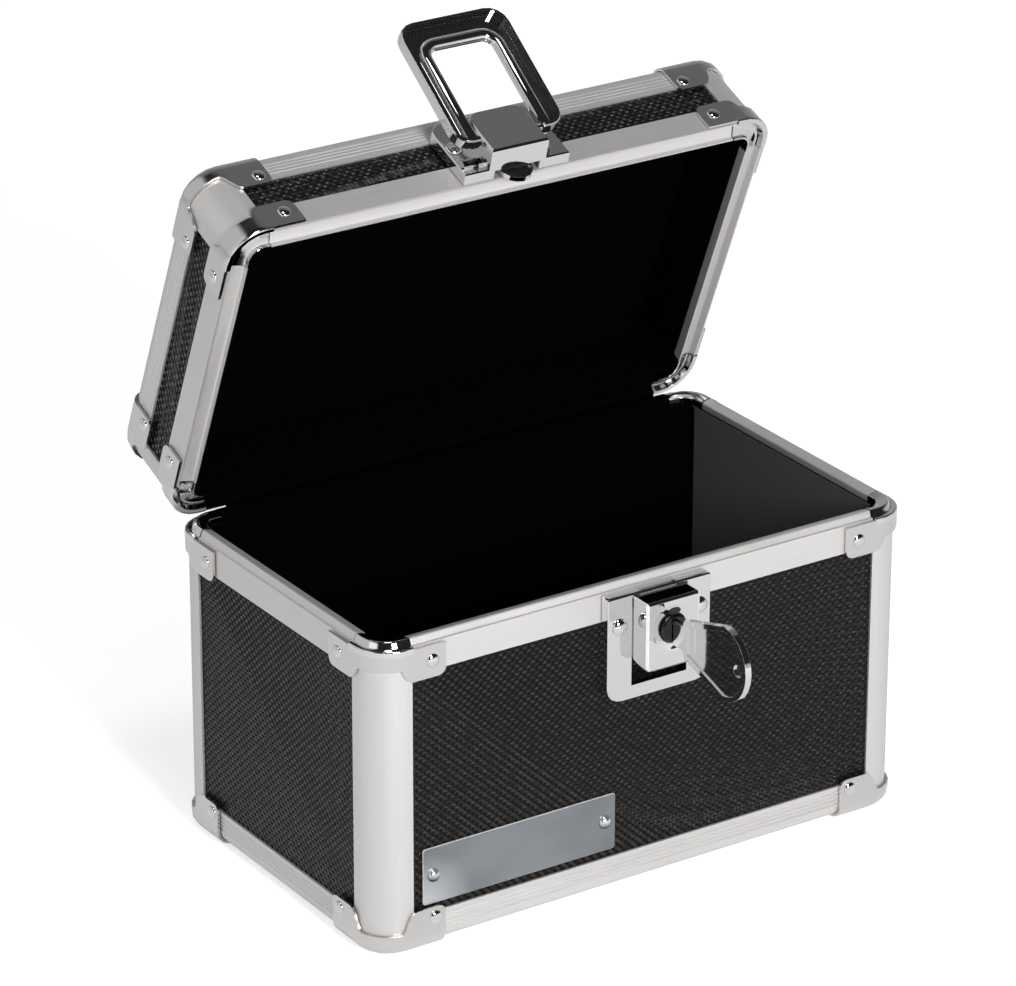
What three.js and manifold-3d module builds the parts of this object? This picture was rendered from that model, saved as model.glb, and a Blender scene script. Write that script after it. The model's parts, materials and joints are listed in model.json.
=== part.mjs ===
// A locking file box for index cards: black boards held in aluminium extrusions, with pressed
// corner caps, a hinged lid, a finger loop that folds down as a hasp, and a keyed sliding lock.
//
// Millimetres, +Z up. X runs along the front, Y from front to back. The lid stands open and the
// key is in the lock. The origin is on the ground, in the middle of all that: from the key's bow
// to the lid's rear. The case itself stands a little behind it.

import * as THREE from 'three';
import { mergeVertices } from 'three/addons/utils/BufferGeometryUtils.js';
import Module from 'manifold-3d';

const wasm = await Module();
wasm.setup();

// How far a cut runs past what it cuts, and how deep joined shapes reach into each other
const CLEAR = 1;
const OVERLAP = 0.5;

// Overall size, over the flat faces of the extrusions
const WIDTH = 184;
const DEPTH = 108.6;
const BASE_HEIGHT = 94.9;
const LID_HEIGHT = 30.2;
const CASE_BACK = 7.8;

// Running clearance between pieces that seat on each other, and the seam under the closed lid
const FIT = 0.25;
const SEAM = 0.3;

// Boards and the extrusions that hold them
const BOARD = 3.0;
const SKIN = 0.9;
const RAIL_LEG = 10.2;
const RAIL_ROUND = 3.5;
const RIM_LEG = 8.9;
const RIM_SLOT_DEPTH = 4.4;
const POST_LEG = 12.3;
const POST_SLOT_DEPTH = 3.7;
const CORNER_ROUND = 10;
const RIB_COUNT = 4;
const RIB_PITCH = 1.25;
const RIB_DEPTH = 0.3;
const RIB_START = 4.6;

// Tongue on the base's rim, which enters the groove in the lid's rim
const TONGUE_HEIGHT = 1.85;
const TONGUE_OUTER = 0.95;
const TONGUE_CREST = 1.9;
const TONGUE_CREST_WIDTH = 0.6;
const TONGUE_INNER_HEIGHT = 0.7;
const TONGUE_SCORE = 0.2;
const TONGUE_EASE = 0.35;
const LIP = 0.6;
const LIP_GAP = 0.45;
const LIP_DEPTH = 3.1;

// Felt lining
const FELT = 0.8;
const BASE_FELT_GAP = 0.7;

// Corner caps and rim brackets, pressed from sheet
const SHEET = 0.8;
const CAP_LEG = 22.2;
const CAP_HEIGHT = 12.2;
const CAP_CUT_HEIGHT = 5.6;
const CAP_CUT_REACH = 7.6;
const CAP_CUT_END = 0.6;
const CAP_CUT_NEAR_PULL = [2.2, 0.3];
const CAP_CUT_FAR_PULL = [3.6, 0.9];
const CAP_END_ROUND = 2;
const CAP_FLOOR_LEG = 13.5;
const CAP_FLOOR_ROUND = 3;
const CAP_FLOOR_NOTCH = 2;
const BRACKET_LEG = 22.8;
const BRACKET_TOP = 0.6;
const BASE_BRACKET_BOTTOM = 10.5;
const LID_BRACKET_BOTTOM = 9.7;
const BRACKET_NECK_BOTTOM = 6.4;
const BRACKET_NECK_REACH = 8.4;
const BRACKET_NECK_SPREAD = 3.4;
const BRACKET_NECK_PULL = [0.9, 3.4];
const BRACKET_LEG_ROUND = 2.6;
const ELBOW_LEG = 12.2;
const ELBOW_LIP = 1.9;
const ELBOW_FLOOR = 0.9;
const ELBOW_EDGE = 0.2;

// Rivet heads
const RIVET_RADIUS = 2.0;
const RIVET_HEIGHT = 0.8;
const RIVET_SUNK = 0.3;
const RIVET_SIDES = 10;
const CAP_RIVET_REACH = 18.9;
const CAP_RIVET_HEIGHT = 8.9;
const BRACKET_RIVET_REACH = 18.3;
const BRACKET_RIVET_DROP = 5.4;

// Hinge along the rear
const HINGE_END_GAP = 1.2;
const HINGE_KNUCKLES = 9;
const HINGE_BARREL_RADIUS = 1.3;
const HINGE_PIN_RADIUS = 0.6;
const HINGE_PIN_CLEARANCE = 0.25;
const HINGE_DROP = 2.4;
const HINGE_LEAF = 8.0;
const HINGE_RIVETS = 5;
const HINGE_RIVET_RADIUS = 1.5;
const HINGE_RIVET_HEIGHT = 0.6;
const LID_OPEN = THREE.MathUtils.degToRad(67.6);

// Lock and latch share one centre line, a little right of the middle of the front
const LOCK_OFFSET = 1.3;
const PAN_SHEET = 0.8;
const PAN_EDGE = 0.35;
const PAN_RIVET_RADIUS = 2.4;
const PAN_RIVET_HEIGHT = 1.1;

// Lock plate on the base
const LOCK_PLATE_WIDTH = 35.6;
const LOCK_PLATE_TOP = 0.8;
const LOCK_PLATE_BOTTOM = 33.8;
const LOCK_PLATE_PROUD = 3.6;
const LOCK_PLATE_ROUND = 5;
const LOCK_PLATE_TOP_ROUND = 0.7;
const TONGUE_GAP_WIDTH = 12.8;
const WINDOW_BOTTOM = 29.4;
const LOCK_RIVET_REACH = 13.8;
const LOCK_RIVET_DROP = 10.0;

// Sliding lock housing
const HOUSING_WIDTH = 18.6;
const HOUSING_TOP = 1.6;
const HOUSING_NOSE = 23.3;
const HOUSING_NOSE_RISE = 2.4;
const HOUSING_PROUD = 10.6;
const HOUSING_ROUND = 2.4;
const HOUSING_TOP_ROUND = 1;
const HOUSING_EDGE = 0.7;
const SLIDE_FLANGE_WIDTH = 25;
const SLIDE_FLANGE_TOP = 5.2;
const SLIDE_FLANGE_BOTTOM = 22.5;
const SLIDE_FLANGE_SHEET = 0.9;

// Lock cylinder
const CYLINDER_DROP = 11.1;
const CYLINDER_RADIUS = 4.4;
const CYLINDER_PROUD = 11.4;
const CYLINDER_DISH_RADIUS = 6.8;
const CYLINDER_DISH_DEPTH = 0.45;
const CYLINDER_EDGE = 0.6;
const KEYWAY_ROUND = 0.5;
const CAM_REACH = 5.6;
const CAM_WIDTH = 5.0;
const CAM_SHEET = 0.8;
const CAM_HEEL_ROUND = 2;
const CAM_TIP_ROUND = 1;

// Key
const KEY_SHEET = 2.0;
const KEY_OFFSET = 0.8;
const KEY_BLADE = 5.8;
const KEY_BLADE_LENGTH = 9.6;
const KEY_TIP = 1.2;
const KEY_TIP_SLOPE = 1.6;
const KEY_STOP = 0.4;
const KEY_NECK_HALF = 3.7;
const KEY_SHOULDER = 5.6;
const KEY_SHOULDER_HALF = 5.9;
const KEY_SHOULDER_SLOPE = 0.8;
const KEY_BOW_REACH = 23.8;
const KEY_BOW_RADIUS = 11.5;
const KEY_BOW_SWEEP = 85;
const KEY_RIM = 1.5;
const KEY_RECESS = 0.45;
const KEY_HOLE_RADIUS = 1.9;
const KEY_HOLE_REACH = 30.8;

// Latch plate on the lid, with its boss and locating tongue
const LATCH_PLATE_WIDTH = 36.0;
const LATCH_PLATE_BOTTOM = 0.8;
const LATCH_PLATE_TOP = 23.4;
const LATCH_PLATE_PROUD = 3.8;
const LATCH_PLATE_ROUND = 5;
const LATCH_RIVET_REACH = 15.2;
const LATCH_RIVET_HEIGHT = 12.2;
const LATCH_GAP_WIDTH = 15.5;
const BOSS_WIDTH = 19.4;
const BOSS_TOP = 18.6;
const BOSS_PROUD = 10.3;
const BOSS_ROUND = 4.5;
const BOSS_EDGE = 0.6;
const LOCATOR_RADIUS = 5.3;
const LOCATOR_DROP = 3.6;
const LOCATOR_STEM = 2.5;
const LOCATOR_SHEET = 1.5;
const LOCATOR_PROUD = 0.7;

// Finger loop
const LOOP_LEAN = THREE.MathUtils.degToRad(14);
const LOOP_PIVOT_HEIGHT = 8.6;
const LOOP_PIVOT_PROUD = 8.4;
const LOOP_OUTER_WIDTH = 36.6;
const LOOP_INNER_WIDTH = 21.2;
const LOOP_INNER_REACH = 32.2;
const LOOP_FAR_BAR = 9.2;
const LOOP_NEAR_END = 1.9;
const LOOP_THICKNESS = 3.8;
const LOOP_BACK = 0.6;
const LOOP_FAR_ROUND = 6;
const LOOP_NEAR_ROUND = 5;
const LOOP_INNER_ROUND = 3;
const LOOP_WALL = 1.2;
const LOOP_ROLL = 3.7;
const LOOP_ROLL_DROP = 0.8;
const LOOP_ROLL_EDGE = 0.9;
const LOOP_FLOOR = 1.2;
const LOOP_PIN_RADIUS = 1.2;
const LOOP_PIN_LENGTH = 3.4;
const LOOP_LUG_RADIUS = 2.0;
const LOOP_LUG_LENGTH = 3;
const LOOP_EDGE = 0.4;

// Sizes that follow from the ones above
const SLOT = BOARD + 2 * FIT;
const WALL = SLOT + 2 * SKIN;
const SHEET_INNER = FIT;
const SHEET_OUTER = FIT + SHEET;
const GROUND = SHEET_OUTER;
const FELT_INSET = WALL + FIT;
const BOARD_FACE = SKIN + FIT;
const HINGE_LENGTH = WIDTH - 2 * (BRACKET_LEG + HINGE_END_GAP);
const HINGE_PROUD = HINGE_BARREL_RADIUS + FIT;
const BORE_RADIUS = CYLINDER_RADIUS + FIT;

// Finishes
const metal = (colour, roughness) =>
  new THREE.MeshStandardMaterial({ color: colour, roughness, metalness: 1 });
const ALUMINIUM = metal(0xd8d6d4, 0.38);
const NICKEL = metal(0xc9c6c3, 0.28);
const CHROME = metal(0xdfe0e2, 0.08);
const BOARD_BLACK = new THREE.MeshStandardMaterial({ color: 0x231f1e, roughness: 0.5, metalness: 0 });
const FELT_BLACK = new THREE.MeshStandardMaterial({ color: 0x141414, roughness: 0.95, metalness: 0 });

// Axes for sections and plates: a rail's section is drawn as (inset, height) and runs along X,
// and a front plate is drawn as (x, height) and stands out towards the viewer, along -Y.
const ALONG_X = new THREE.Matrix4().makeBasis(
  new THREE.Vector3(0, 1, 0),
  new THREE.Vector3(0, 0, 1),
  new THREE.Vector3(1, 0, 0),
);
const TOWARDS_FRONT = new THREE.Matrix4().makeRotationX(Math.PI / 2);

/** A closed outline from [x, y] points. */
function outline(points) {
  return new THREE.Shape(points.map(([x, y]) => new THREE.Vector2(x, y)));
}

/** Points of an arc round (cx, cy), from one angle to another in degrees. */
function arc(cx, cy, radius, from, to, steps) {
  return Array.from({ length: steps + 1 }, (_, i) => {
    const angle = THREE.MathUtils.degToRad(from + ((to - from) * i) / steps);
    return [cx + radius * Math.cos(angle), cy + radius * Math.sin(angle)];
  });
}

/** A rectangle between two corners. */
function plainBox(x0, y0, x1, y1) {
  return [
    [x0, y0],
    [x1, y0],
    [x1, y1],
    [x0, y1],
  ];
}

/** A rectangle with its own radius at each corner: lower left, lower right, upper right, upper left. */
function roundedBox(x0, y0, x1, y1, [ll, lr, ur, ul], steps = 4) {
  const corner = (cx, cy, radius, from) =>
    radius > 0 ? arc(cx, cy, radius, from, from + 90, steps) : [[cx, cy]];
  return [
    ...corner(x0 + ll, y0 + ll, ll, 180),
    ...corner(x1 - lr, y0 + lr, lr, 270),
    ...corner(x1 - ur, y1 - ur, ur, 0),
    ...corner(x0 + ul, y1 - ul, ul, 90),
  ];
}

/** Extrudes a shape along its own +Z, optionally with a chamfer inside its outline. */
function extrude(shape, depth, chamfer = 0) {
  return new THREE.ExtrudeGeometry(shape, {
    depth: depth - 2 * chamfer,
    bevelEnabled: chamfer > 0,
    bevelThickness: chamfer,
    bevelSize: chamfer,
    bevelOffset: -chamfer,
    bevelSegments: 1,
    curveSegments: 6,
  }).translate(0, 0, chamfer);
}

/** A plate on the front: drawn as (x, height), from one distance in front of the face to another. */
function frontPlate(points, from, to, { holes = [], chamfer = 0 } = {}) {
  const shape = outline(points);
  shape.holes = holes.map((hole) => outline(hole));
  return extrude(shape, to - from, chamfer).translate(0, 0, from).applyMatrix4(TOWARDS_FRONT);
}

/** A plate on the front, as two shapes to join, with a chamfer round its front edge only. */
function edgedPlate(points, from, to, chamfer) {
  return [
    frontPlate(points, from, to - chamfer - OVERLAP / 2),
    frontPlate(points, to - 2 * chamfer - OVERLAP, to, { chamfer }),
  ];
}

/** A section of (inset, height) points, run along X from one end to the other. */
function run(points, from, to, holes = []) {
  const shape = outline(points);
  shape.holes = holes.map((hole) => outline(hole));
  return extrude(shape, to - from).applyMatrix4(ALONG_X).translate(from, 0, 0);
}

/** A cylinder along X, Y or Z between two places on that axis. */
function rod(axis, radius, from, to, [a, b], segments = 16) {
  const geometry = new THREE.CylinderGeometry(radius, radius, to - from, segments);
  const middle = (from + to) / 2;
  if (axis === 'x') return geometry.rotateZ(Math.PI / 2).translate(middle, a, b);
  if (axis === 'y') return geometry.translate(a, middle, b);
  return geometry.rotateX(Math.PI / 2).translate(a, b, middle);
}

/** A domed rivet head whose flat side is on the plane y = 0, with the dome towards -Y. */
function rivetHead(radius = RIVET_RADIUS, height = RIVET_HEIGHT) {
  const dome = [
    [0, -RIVET_SUNK],
    [radius, -RIVET_SUNK],
    [radius, 0.15 * height],
    [0.7 * radius, 0.8 * height],
    [0, height],
  ].map(([r, h]) => new THREE.Vector2(r, h));
  return new THREE.LatheGeometry(dome, RIVET_SIDES).rotateX(Math.PI);
}

/** A closed mesh as a solid, without the flat triangles that a revolved outline has on its axis. */
function solid(geometry) {
  const bare = geometry.clone();
  bare.deleteAttribute('normal');
  bare.deleteAttribute('uv');
  const merged = mergeVertices(bare, 1e-4);
  const corners = merged.index.array;
  const triangles = [];
  for (let i = 0; i < corners.length; i += 3) {
    const [a, b, c] = corners.slice(i, i + 3);
    if (a !== b && b !== c && c !== a) triangles.push(a, b, c);
  }
  return new wasm.Manifold(
    new wasm.Mesh({
      numProp: 3,
      vertProperties: new Float32Array(merged.attributes.position.array),
      triVerts: new Uint32Array(triangles),
    }),
  );
}

/** Joins the first list of meshes and cuts the second away, as one mesh. */
function joined(parts, cuts = []) {
  let body = solid(parts[0]);
  for (const part of parts.slice(1)) body = body.add(solid(part));
  for (const cut of cuts) body = body.subtract(solid(cut));
  const mesh = body.getMesh();
  const geometry = new THREE.BufferGeometry();
  geometry.setAttribute('position', new THREE.BufferAttribute(new Float32Array(mesh.vertProperties), 3));
  geometry.setIndex(new THREE.BufferAttribute(new Uint32Array(mesh.triVerts), 1));
  return geometry;
}

/**
 * Sweeps a section of (inset, height) points round an upright corner of the box. The corner is at
 * the origin, with its two faces along +X and +Y, and each leg is measured from it.
 */
function cornerSweep(section, leg, steps = 5) {
  const stations = [{ x: leg, y: 0, nx: 0, ny: 1 }];
  for (let i = 0; i <= steps; i += 1) {
    const angle = (Math.PI / 2) * (i / steps);
    const nx = Math.sin(angle);
    const ny = Math.cos(angle);
    stations.push({ x: CORNER_ROUND * (1 - nx), y: CORNER_ROUND * (1 - ny), nx, ny });
  }
  stations.push({ x: 0, y: leg, nx: 1, ny: 0 });

  const flat = section.map(([inset, height]) => new THREE.Vector2(inset, height));
  if (THREE.ShapeUtils.isClockWise(flat)) flat.reverse();
  const positions = [];
  for (const { x, y, nx, ny } of stations) {
    for (const { x: inset, y: height } of flat) positions.push(x + inset * nx, y + inset * ny, height);
  }
  const count = flat.length;
  const last = (stations.length - 1) * count;
  const index = [];
  for (let s = 0; s < stations.length - 1; s += 1) {
    for (let i = 0; i < count; i += 1) {
      const a = s * count + i;
      const b = s * count + ((i + 1) % count);
      index.push(a, b + count, b, a, a + count, b + count);
    }
  }
  for (const [a, b, c] of THREE.ShapeUtils.triangulateShape(flat, [])) {
    index.push(a, b, c, last + a, last + c, last + b);
  }
  const geometry = new THREE.BufferGeometry();
  geometry.setAttribute('position', new THREE.Float32BufferAttribute(positions, 3));
  geometry.setIndex(index);
  return geometry;
}

/** A named mesh. */
function piece(name, geometry, material) {
  const mesh = new THREE.Mesh(geometry, material);
  mesh.name = name;
  return mesh;
}

// Sections of the extrusions, as (inset, height)

/** Grooves down an outer face, from the highest to the lowest, for a run of points. */
function ribs() {
  return Array.from({ length: RIB_COUNT }, (_, i) => RIB_START + RIB_PITCH * (RIB_COUNT - 1 - i)).flatMap(
    (height) => [
      [0, height + RIB_DEPTH],
      [RIB_DEPTH, height],
      [0, height - RIB_DEPTH],
    ],
  );
}

/** The rail along an outer edge: a hollow core with a pair of fins for each of its two boards. */
function railSection() {
  return [
    [0, RAIL_LEG],
    ...ribs(),
    ...arc(RAIL_ROUND, RAIL_ROUND, RAIL_ROUND, 180, 270, 5),
    [RAIL_LEG, 0],
    [RAIL_LEG, SKIN],
    [WALL, SKIN],
    [WALL, SKIN + SLOT],
    [RAIL_LEG, SKIN + SLOT],
    [RAIL_LEG, WALL],
    [WALL, WALL],
    [WALL, RAIL_LEG],
    [SKIN + SLOT, RAIL_LEG],
    [SKIN + SLOT, WALL],
    [SKIN, WALL],
    [SKIN, RAIL_LEG],
  ];
}

/** The hollow in the rail's core. */
function railHollow() {
  const near = SKIN + RIB_DEPTH;
  const far = WALL - SKIN;
  return [
    [far, far],
    [near, far],
    [near, RAIL_ROUND],
    [RAIL_ROUND, near],
    [far, near],
  ];
}

/** The tongue's outline from the outer face to the inner one, above the seam at height 0. */
function tongue() {
  return [
    [0, 0],
    [TONGUE_OUTER - 2 * TONGUE_SCORE, 0],
    [TONGUE_OUTER - TONGUE_SCORE, -TONGUE_SCORE],
    [TONGUE_OUTER, 0],
    [TONGUE_CREST - TONGUE_EASE, TONGUE_HEIGHT - TONGUE_EASE],
    [TONGUE_CREST, TONGUE_HEIGHT],
    [TONGUE_CREST + TONGUE_CREST_WIDTH, TONGUE_HEIGHT],
    [WALL - TONGUE_EASE, TONGUE_INNER_HEIGHT + TONGUE_EASE],
    [WALL, TONGUE_INNER_HEIGHT],
  ];
}

/**
 * The groove that takes the tongue, in a lid drawn upside down: heights are under the seam. Its
 * inner side is a lip that passes inside the base's rim.
 */
function groove() {
  return [
    [0, -SEAM],
    [TONGUE_OUTER - SEAM, -SEAM],
    [TONGUE_CREST - TONGUE_EASE - SEAM, -TONGUE_HEIGHT - SEAM + TONGUE_EASE],
    [TONGUE_CREST - SEAM / 2, -TONGUE_HEIGHT - SEAM],
    [TONGUE_CREST + TONGUE_CREST_WIDTH + SEAM / 2, -TONGUE_HEIGHT - SEAM],
    [WALL, -TONGUE_INNER_HEIGHT - SEAM - TONGUE_EASE],
    [WALL + LIP_GAP, -TONGUE_INNER_HEIGHT - SEAM],
    [WALL + LIP_GAP, 0],
    [WALL + LIP_GAP + LIP, 0],
  ];
}

/** The rim rail: the rim's own outline on top, and a slot for the board below. */
function rimSection(rim) {
  const slotTop = -RIM_LEG + RIM_SLOT_DEPTH;
  return [
    ...rim,
    [rim.at(-1)[0], -LIP_DEPTH],
    [WALL, -LIP_DEPTH],
    [WALL, -RIM_LEG],
    [SKIN + SLOT, -RIM_LEG],
    [SKIN + SLOT, slotTop],
    [SKIN, slotTop],
    [SKIN, -RIM_LEG],
    [0, -RIM_LEG],
  ];
}

/** The post's section in plan: a round outside and a slot for each of its two boards. */
function postSection() {
  const slotEnd = POST_LEG - POST_SLOT_DEPTH;
  return [
    [POST_LEG, 0],
    [POST_LEG, SKIN],
    [slotEnd, SKIN],
    [slotEnd, SKIN + SLOT],
    [POST_LEG, SKIN + SLOT],
    [POST_LEG, WALL],
    [WALL, WALL],
    [WALL, POST_LEG],
    [SKIN + SLOT, POST_LEG],
    [SKIN + SLOT, slotEnd],
    [SKIN, slotEnd],
    [SKIN, POST_LEG],
    [0, POST_LEG],
    ...arc(CORNER_ROUND, CORNER_ROUND, CORNER_ROUND, 180, 270, 8),
  ];
}

// Pressed pieces of the corners, drawn at a corner at the origin with faces along +X and +Y

/** A plate's outline in (x, height), cut through both faces of a corner piece. */
function bothFaces(points, depth) {
  return [
    frontPlate(points, -depth, 2 * SHEET_OUTER),
    run(points, -2 * SHEET_OUTER, depth),
  ];
}

/** Rivet heads on both faces of a corner piece. */
function bothRivets(reach, height) {
  return [
    rivetHead().translate(reach, -SHEET_OUTER, height),
    rivetHead().rotateZ(-Math.PI / 2).translate(-SHEET_OUTER, reach, height),
  ];
}

/** The cap over a closed corner: sides with a rounded lower edge, a floor, and a cut round the post. */
function capGeometry() {
  const floorReach = CORNER_ROUND - CLEAR;
  const floorRound = CAP_FLOOR_ROUND;
  const wall = cornerSweep(
    [
      [-SHEET_INNER, CAP_HEIGHT],
      ...arc(RAIL_ROUND, RAIL_ROUND, RAIL_ROUND + SHEET_INNER, 180, 270, 5),
      [floorReach, -SHEET_INNER],
      [floorReach, -SHEET_OUTER],
      ...arc(RAIL_ROUND, RAIL_ROUND, RAIL_ROUND + SHEET_OUTER, 270, 180, 5),
      [-SHEET_OUTER, CAP_HEIGHT],
    ],
    CAP_LEG,
  );
  const floor = extrude(
    outline([
      [RAIL_ROUND, RAIL_ROUND + CAP_FLOOR_NOTCH],
      [RAIL_ROUND + CAP_FLOOR_NOTCH, RAIL_ROUND],
      [CAP_LEG, RAIL_ROUND],
      ...arc(CAP_LEG - floorRound, CAP_FLOOR_LEG - floorRound, floorRound, 0, 90, 3),
      [CAP_FLOOR_LEG + CAP_FLOOR_NOTCH, CAP_FLOOR_LEG],
      [CAP_FLOOR_LEG, CAP_FLOOR_LEG + CAP_FLOOR_NOTCH],
      ...arc(CAP_FLOOR_LEG - floorRound, CAP_LEG - floorRound, floorRound, 0, 90, 3),
      [RAIL_ROUND, CAP_LEG],
    ]),
    SHEET,
  ).translate(0, 0, -SHEET_OUTER);
  const above = CAP_HEIGHT + CLEAR;
  const cutEnd = POST_LEG + CAP_CUT_END;
  const curve = new THREE.CubicBezierCurve(
    new THREE.Vector2(CAP_CUT_REACH, CAP_CUT_HEIGHT),
    new THREE.Vector2(CAP_CUT_REACH + CAP_CUT_NEAR_PULL[0], CAP_CUT_HEIGHT + CAP_CUT_NEAR_PULL[1]),
    new THREE.Vector2(cutEnd - CAP_CUT_FAR_PULL[0], CAP_HEIGHT - CAP_CUT_FAR_PULL[1]),
    new THREE.Vector2(cutEnd, CAP_HEIGHT),
  );
  const postCut = [
    [-SHEET_OUTER - CLEAR, CAP_CUT_HEIGHT],
    ...curve.getPoints(7).map((point) => [point.x, point.y]),
    [cutEnd, above],
    [-SHEET_OUTER - CLEAR, above],
  ];
  const roundStart = CAP_LEG - CAP_END_ROUND;
  const endCut = [
    ...arc(roundStart, CAP_HEIGHT - CAP_END_ROUND, CAP_END_ROUND, 90, 0, 3),
    [CAP_LEG + CLEAR, CAP_HEIGHT - CAP_END_ROUND],
    [CAP_LEG + CLEAR, above],
    [roundStart, above],
  ];
  return joined(
    [wall, floor, ...bothRivets(CAP_RIVET_REACH, CAP_RIVET_HEIGHT)],
    [...bothFaces(postCut, CAP_CUT_REACH), ...bothFaces(endCut, 0)],
  );
}

/** The bracket at a corner of the rim, with the elbow that carries the rim's outline round it. */
function bracketGeometry(rim, elbowFloor, bottom) {
  const plate = cornerSweep(
    [
      [-SHEET_INNER, -bottom],
      [-SHEET_INNER, -BRACKET_TOP],
      [-SHEET_OUTER, -BRACKET_TOP],
      [-SHEET_OUTER, -bottom],
    ],
    BRACKET_LEG,
  );
  const lipTop = rim[0][1];
  const elbow = cornerSweep(
    [
      [-SHEET_OUTER, lipTop - ELBOW_EDGE],
      [-SHEET_OUTER + ELBOW_EDGE, lipTop],
      ...rim.slice(1),
      [rim.at(-1)[0], elbowFloor],
      [-SHEET_INNER, elbowFloor],
      [-SHEET_INNER, lipTop - ELBOW_LIP],
      [-SHEET_OUTER, lipTop - ELBOW_LIP],
    ],
    ELBOW_LEG,
  );
  const below = -bottom - CLEAR;
  const neckEnd = BRACKET_NECK_REACH + BRACKET_NECK_SPREAD;
  const neck = new THREE.QuadraticBezierCurve(
    new THREE.Vector2(BRACKET_NECK_REACH, -BRACKET_NECK_BOTTOM),
    new THREE.Vector2(
      BRACKET_NECK_REACH + BRACKET_NECK_PULL[0],
      -BRACKET_NECK_BOTTOM - BRACKET_NECK_PULL[1],
    ),
    new THREE.Vector2(neckEnd, -bottom),
  );
  const neckCut = [
    [-SHEET_OUTER - CLEAR, below],
    [neckEnd, below],
    ...neck
      .getPoints(6)
      .reverse()
      .map((point) => [point.x, point.y]),
    [-SHEET_OUTER - CLEAR, -BRACKET_NECK_BOTTOM],
  ];
  const round = BRACKET_LEG_ROUND;
  const legCut = [
    [BRACKET_LEG - round, below],
    [BRACKET_LEG + CLEAR, below],
    [BRACKET_LEG + CLEAR, -bottom + round],
    ...arc(BRACKET_LEG - round, -bottom + round, round, 0, -90, 4),
  ];
  return joined(
    [plate, elbow, ...bothRivets(BRACKET_RIVET_REACH, -BRACKET_RIVET_DROP)],
    [...bothFaces(neckCut, BRACKET_NECK_REACH), ...bothFaces(legCut, 0)],
  );
}

// Half of the box: a closed end at height 0 and the rim at the given height

const SIDES = [
  { name: 'front', turn: 0, reach: DEPTH / 2, length: WIDTH },
  { name: 'right', turn: Math.PI / 2, reach: WIDTH / 2, length: DEPTH },
  { name: 'rear', turn: Math.PI, reach: DEPTH / 2, length: WIDTH },
  { name: 'left', turn: -Math.PI / 2, reach: WIDTH / 2, length: DEPTH },
];
const CORNERS = [
  { name: 'front_left', turn: 0, x: -1, y: -1 },
  { name: 'front_right', turn: Math.PI / 2, x: 1, y: -1 },
  { name: 'rear_right', turn: Math.PI, x: 1, y: 1 },
  { name: 'rear_left', turn: -Math.PI / 2, x: -1, y: 1 },
];

/**
 * Builds a half. The lid is drawn upside down and turned over the X axis by its group, so its
 * front and rear names are exchanged.
 */
function half({ prefix, height, rim, elbowFloor, bracketBottom, feltGap, closedEnd, upsideDown }) {
  const group = new THREE.Group();
  const named = (place) => {
    if (!upsideDown) return `${prefix}_${place}`;
    const swap = { front: 'rear', rear: 'front' };
    return `${prefix}_${place.replace(/front|rear/, (word) => swap[word])}`;
  };

  for (const { name, turn, reach, length } of SIDES) {
    const end = length / 2 - POST_LEG - FIT;
    const rail = run(railSection(), -end, end, [railHollow()]).translate(0, -reach, 0);
    const rimRail = run(rimSection(rim), -end, end).translate(0, -reach, height);
    const boardEnd = length / 2 - POST_LEG + POST_SLOT_DEPTH - FIT;
    const boardTop = height - RIM_LEG + RIM_SLOT_DEPTH - FIT;
    const board = frontPlate(
      plainBox(-boardEnd, WALL + FIT, boardEnd, boardTop),
      -BOARD_FACE - BOARD,
      -BOARD_FACE,
    ).translate(0, -reach, 0);
    const pieces = [
      piece(`${named(name)}_${closedEnd}_rail`, rail, ALUMINIUM),
      piece(`${named(name)}_rim_rail`, rimRail, ALUMINIUM),
      piece(`${named(name)}_panel`, board, BOARD_BLACK),
    ];
    for (const mesh of pieces) mesh.rotation.z = turn;
    group.add(...pieces);
  }

  for (const { name, turn, x, y } of CORNERS) {
    const postBottom = RAIL_ROUND;
    const postTop = height + elbowFloor - FIT;
    const post = extrude(outline(postSection()), postTop - postBottom).translate(0, 0, postBottom);
    const bracket = bracketGeometry(rim, elbowFloor, bracketBottom).translate(0, 0, height);
    const corner = new THREE.Group();
    corner.add(
      piece(`${named(name)}_post`, post, ALUMINIUM),
      piece(`${named(name)}_cap`, capGeometry(), NICKEL),
      piece(`${named(name)}_rim_bracket`, bracket, NICKEL),
    );
    corner.position.set((x * WIDTH) / 2, (y * DEPTH) / 2, 0);
    corner.rotation.z = turn;
    group.add(corner);
  }

  const flatHalfWidth = WIDTH / 2 - WALL - FIT;
  const flatHalfDepth = DEPTH / 2 - WALL - FIT;
  const flat = extrude(
    outline(plainBox(-flatHalfWidth, -flatHalfDepth, flatHalfWidth, flatHalfDepth)),
    BOARD,
  ).translate(0, 0, BOARD_FACE);
  group.add(piece(`${prefix}_${closedEnd}_panel`, flat, BOARD_BLACK));

  const feltTop = height - feltGap;
  const feltPlan = (inset) => {
    const x = WIDTH / 2 - inset;
    const y = DEPTH / 2 - inset;
    const round = CORNER_ROUND - inset;
    return outline(roundedBox(-x, -y, x, y, [round, round, round, round]));
  };
  const feltFloor = FELT_INSET + FELT;
  const tray = joined(
    [extrude(feltPlan(FELT_INSET), feltTop - FELT_INSET).translate(0, 0, FELT_INSET)],
    [extrude(feltPlan(feltFloor), height).translate(0, 0, feltFloor)],
  );
  group.add(piece(`${prefix}_lining`, tray, FELT_BLACK));
  return group;
}

// Hinge, drawn at the rear of the closed box with height 0 at the seam and inset 0 at the rear face

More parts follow.
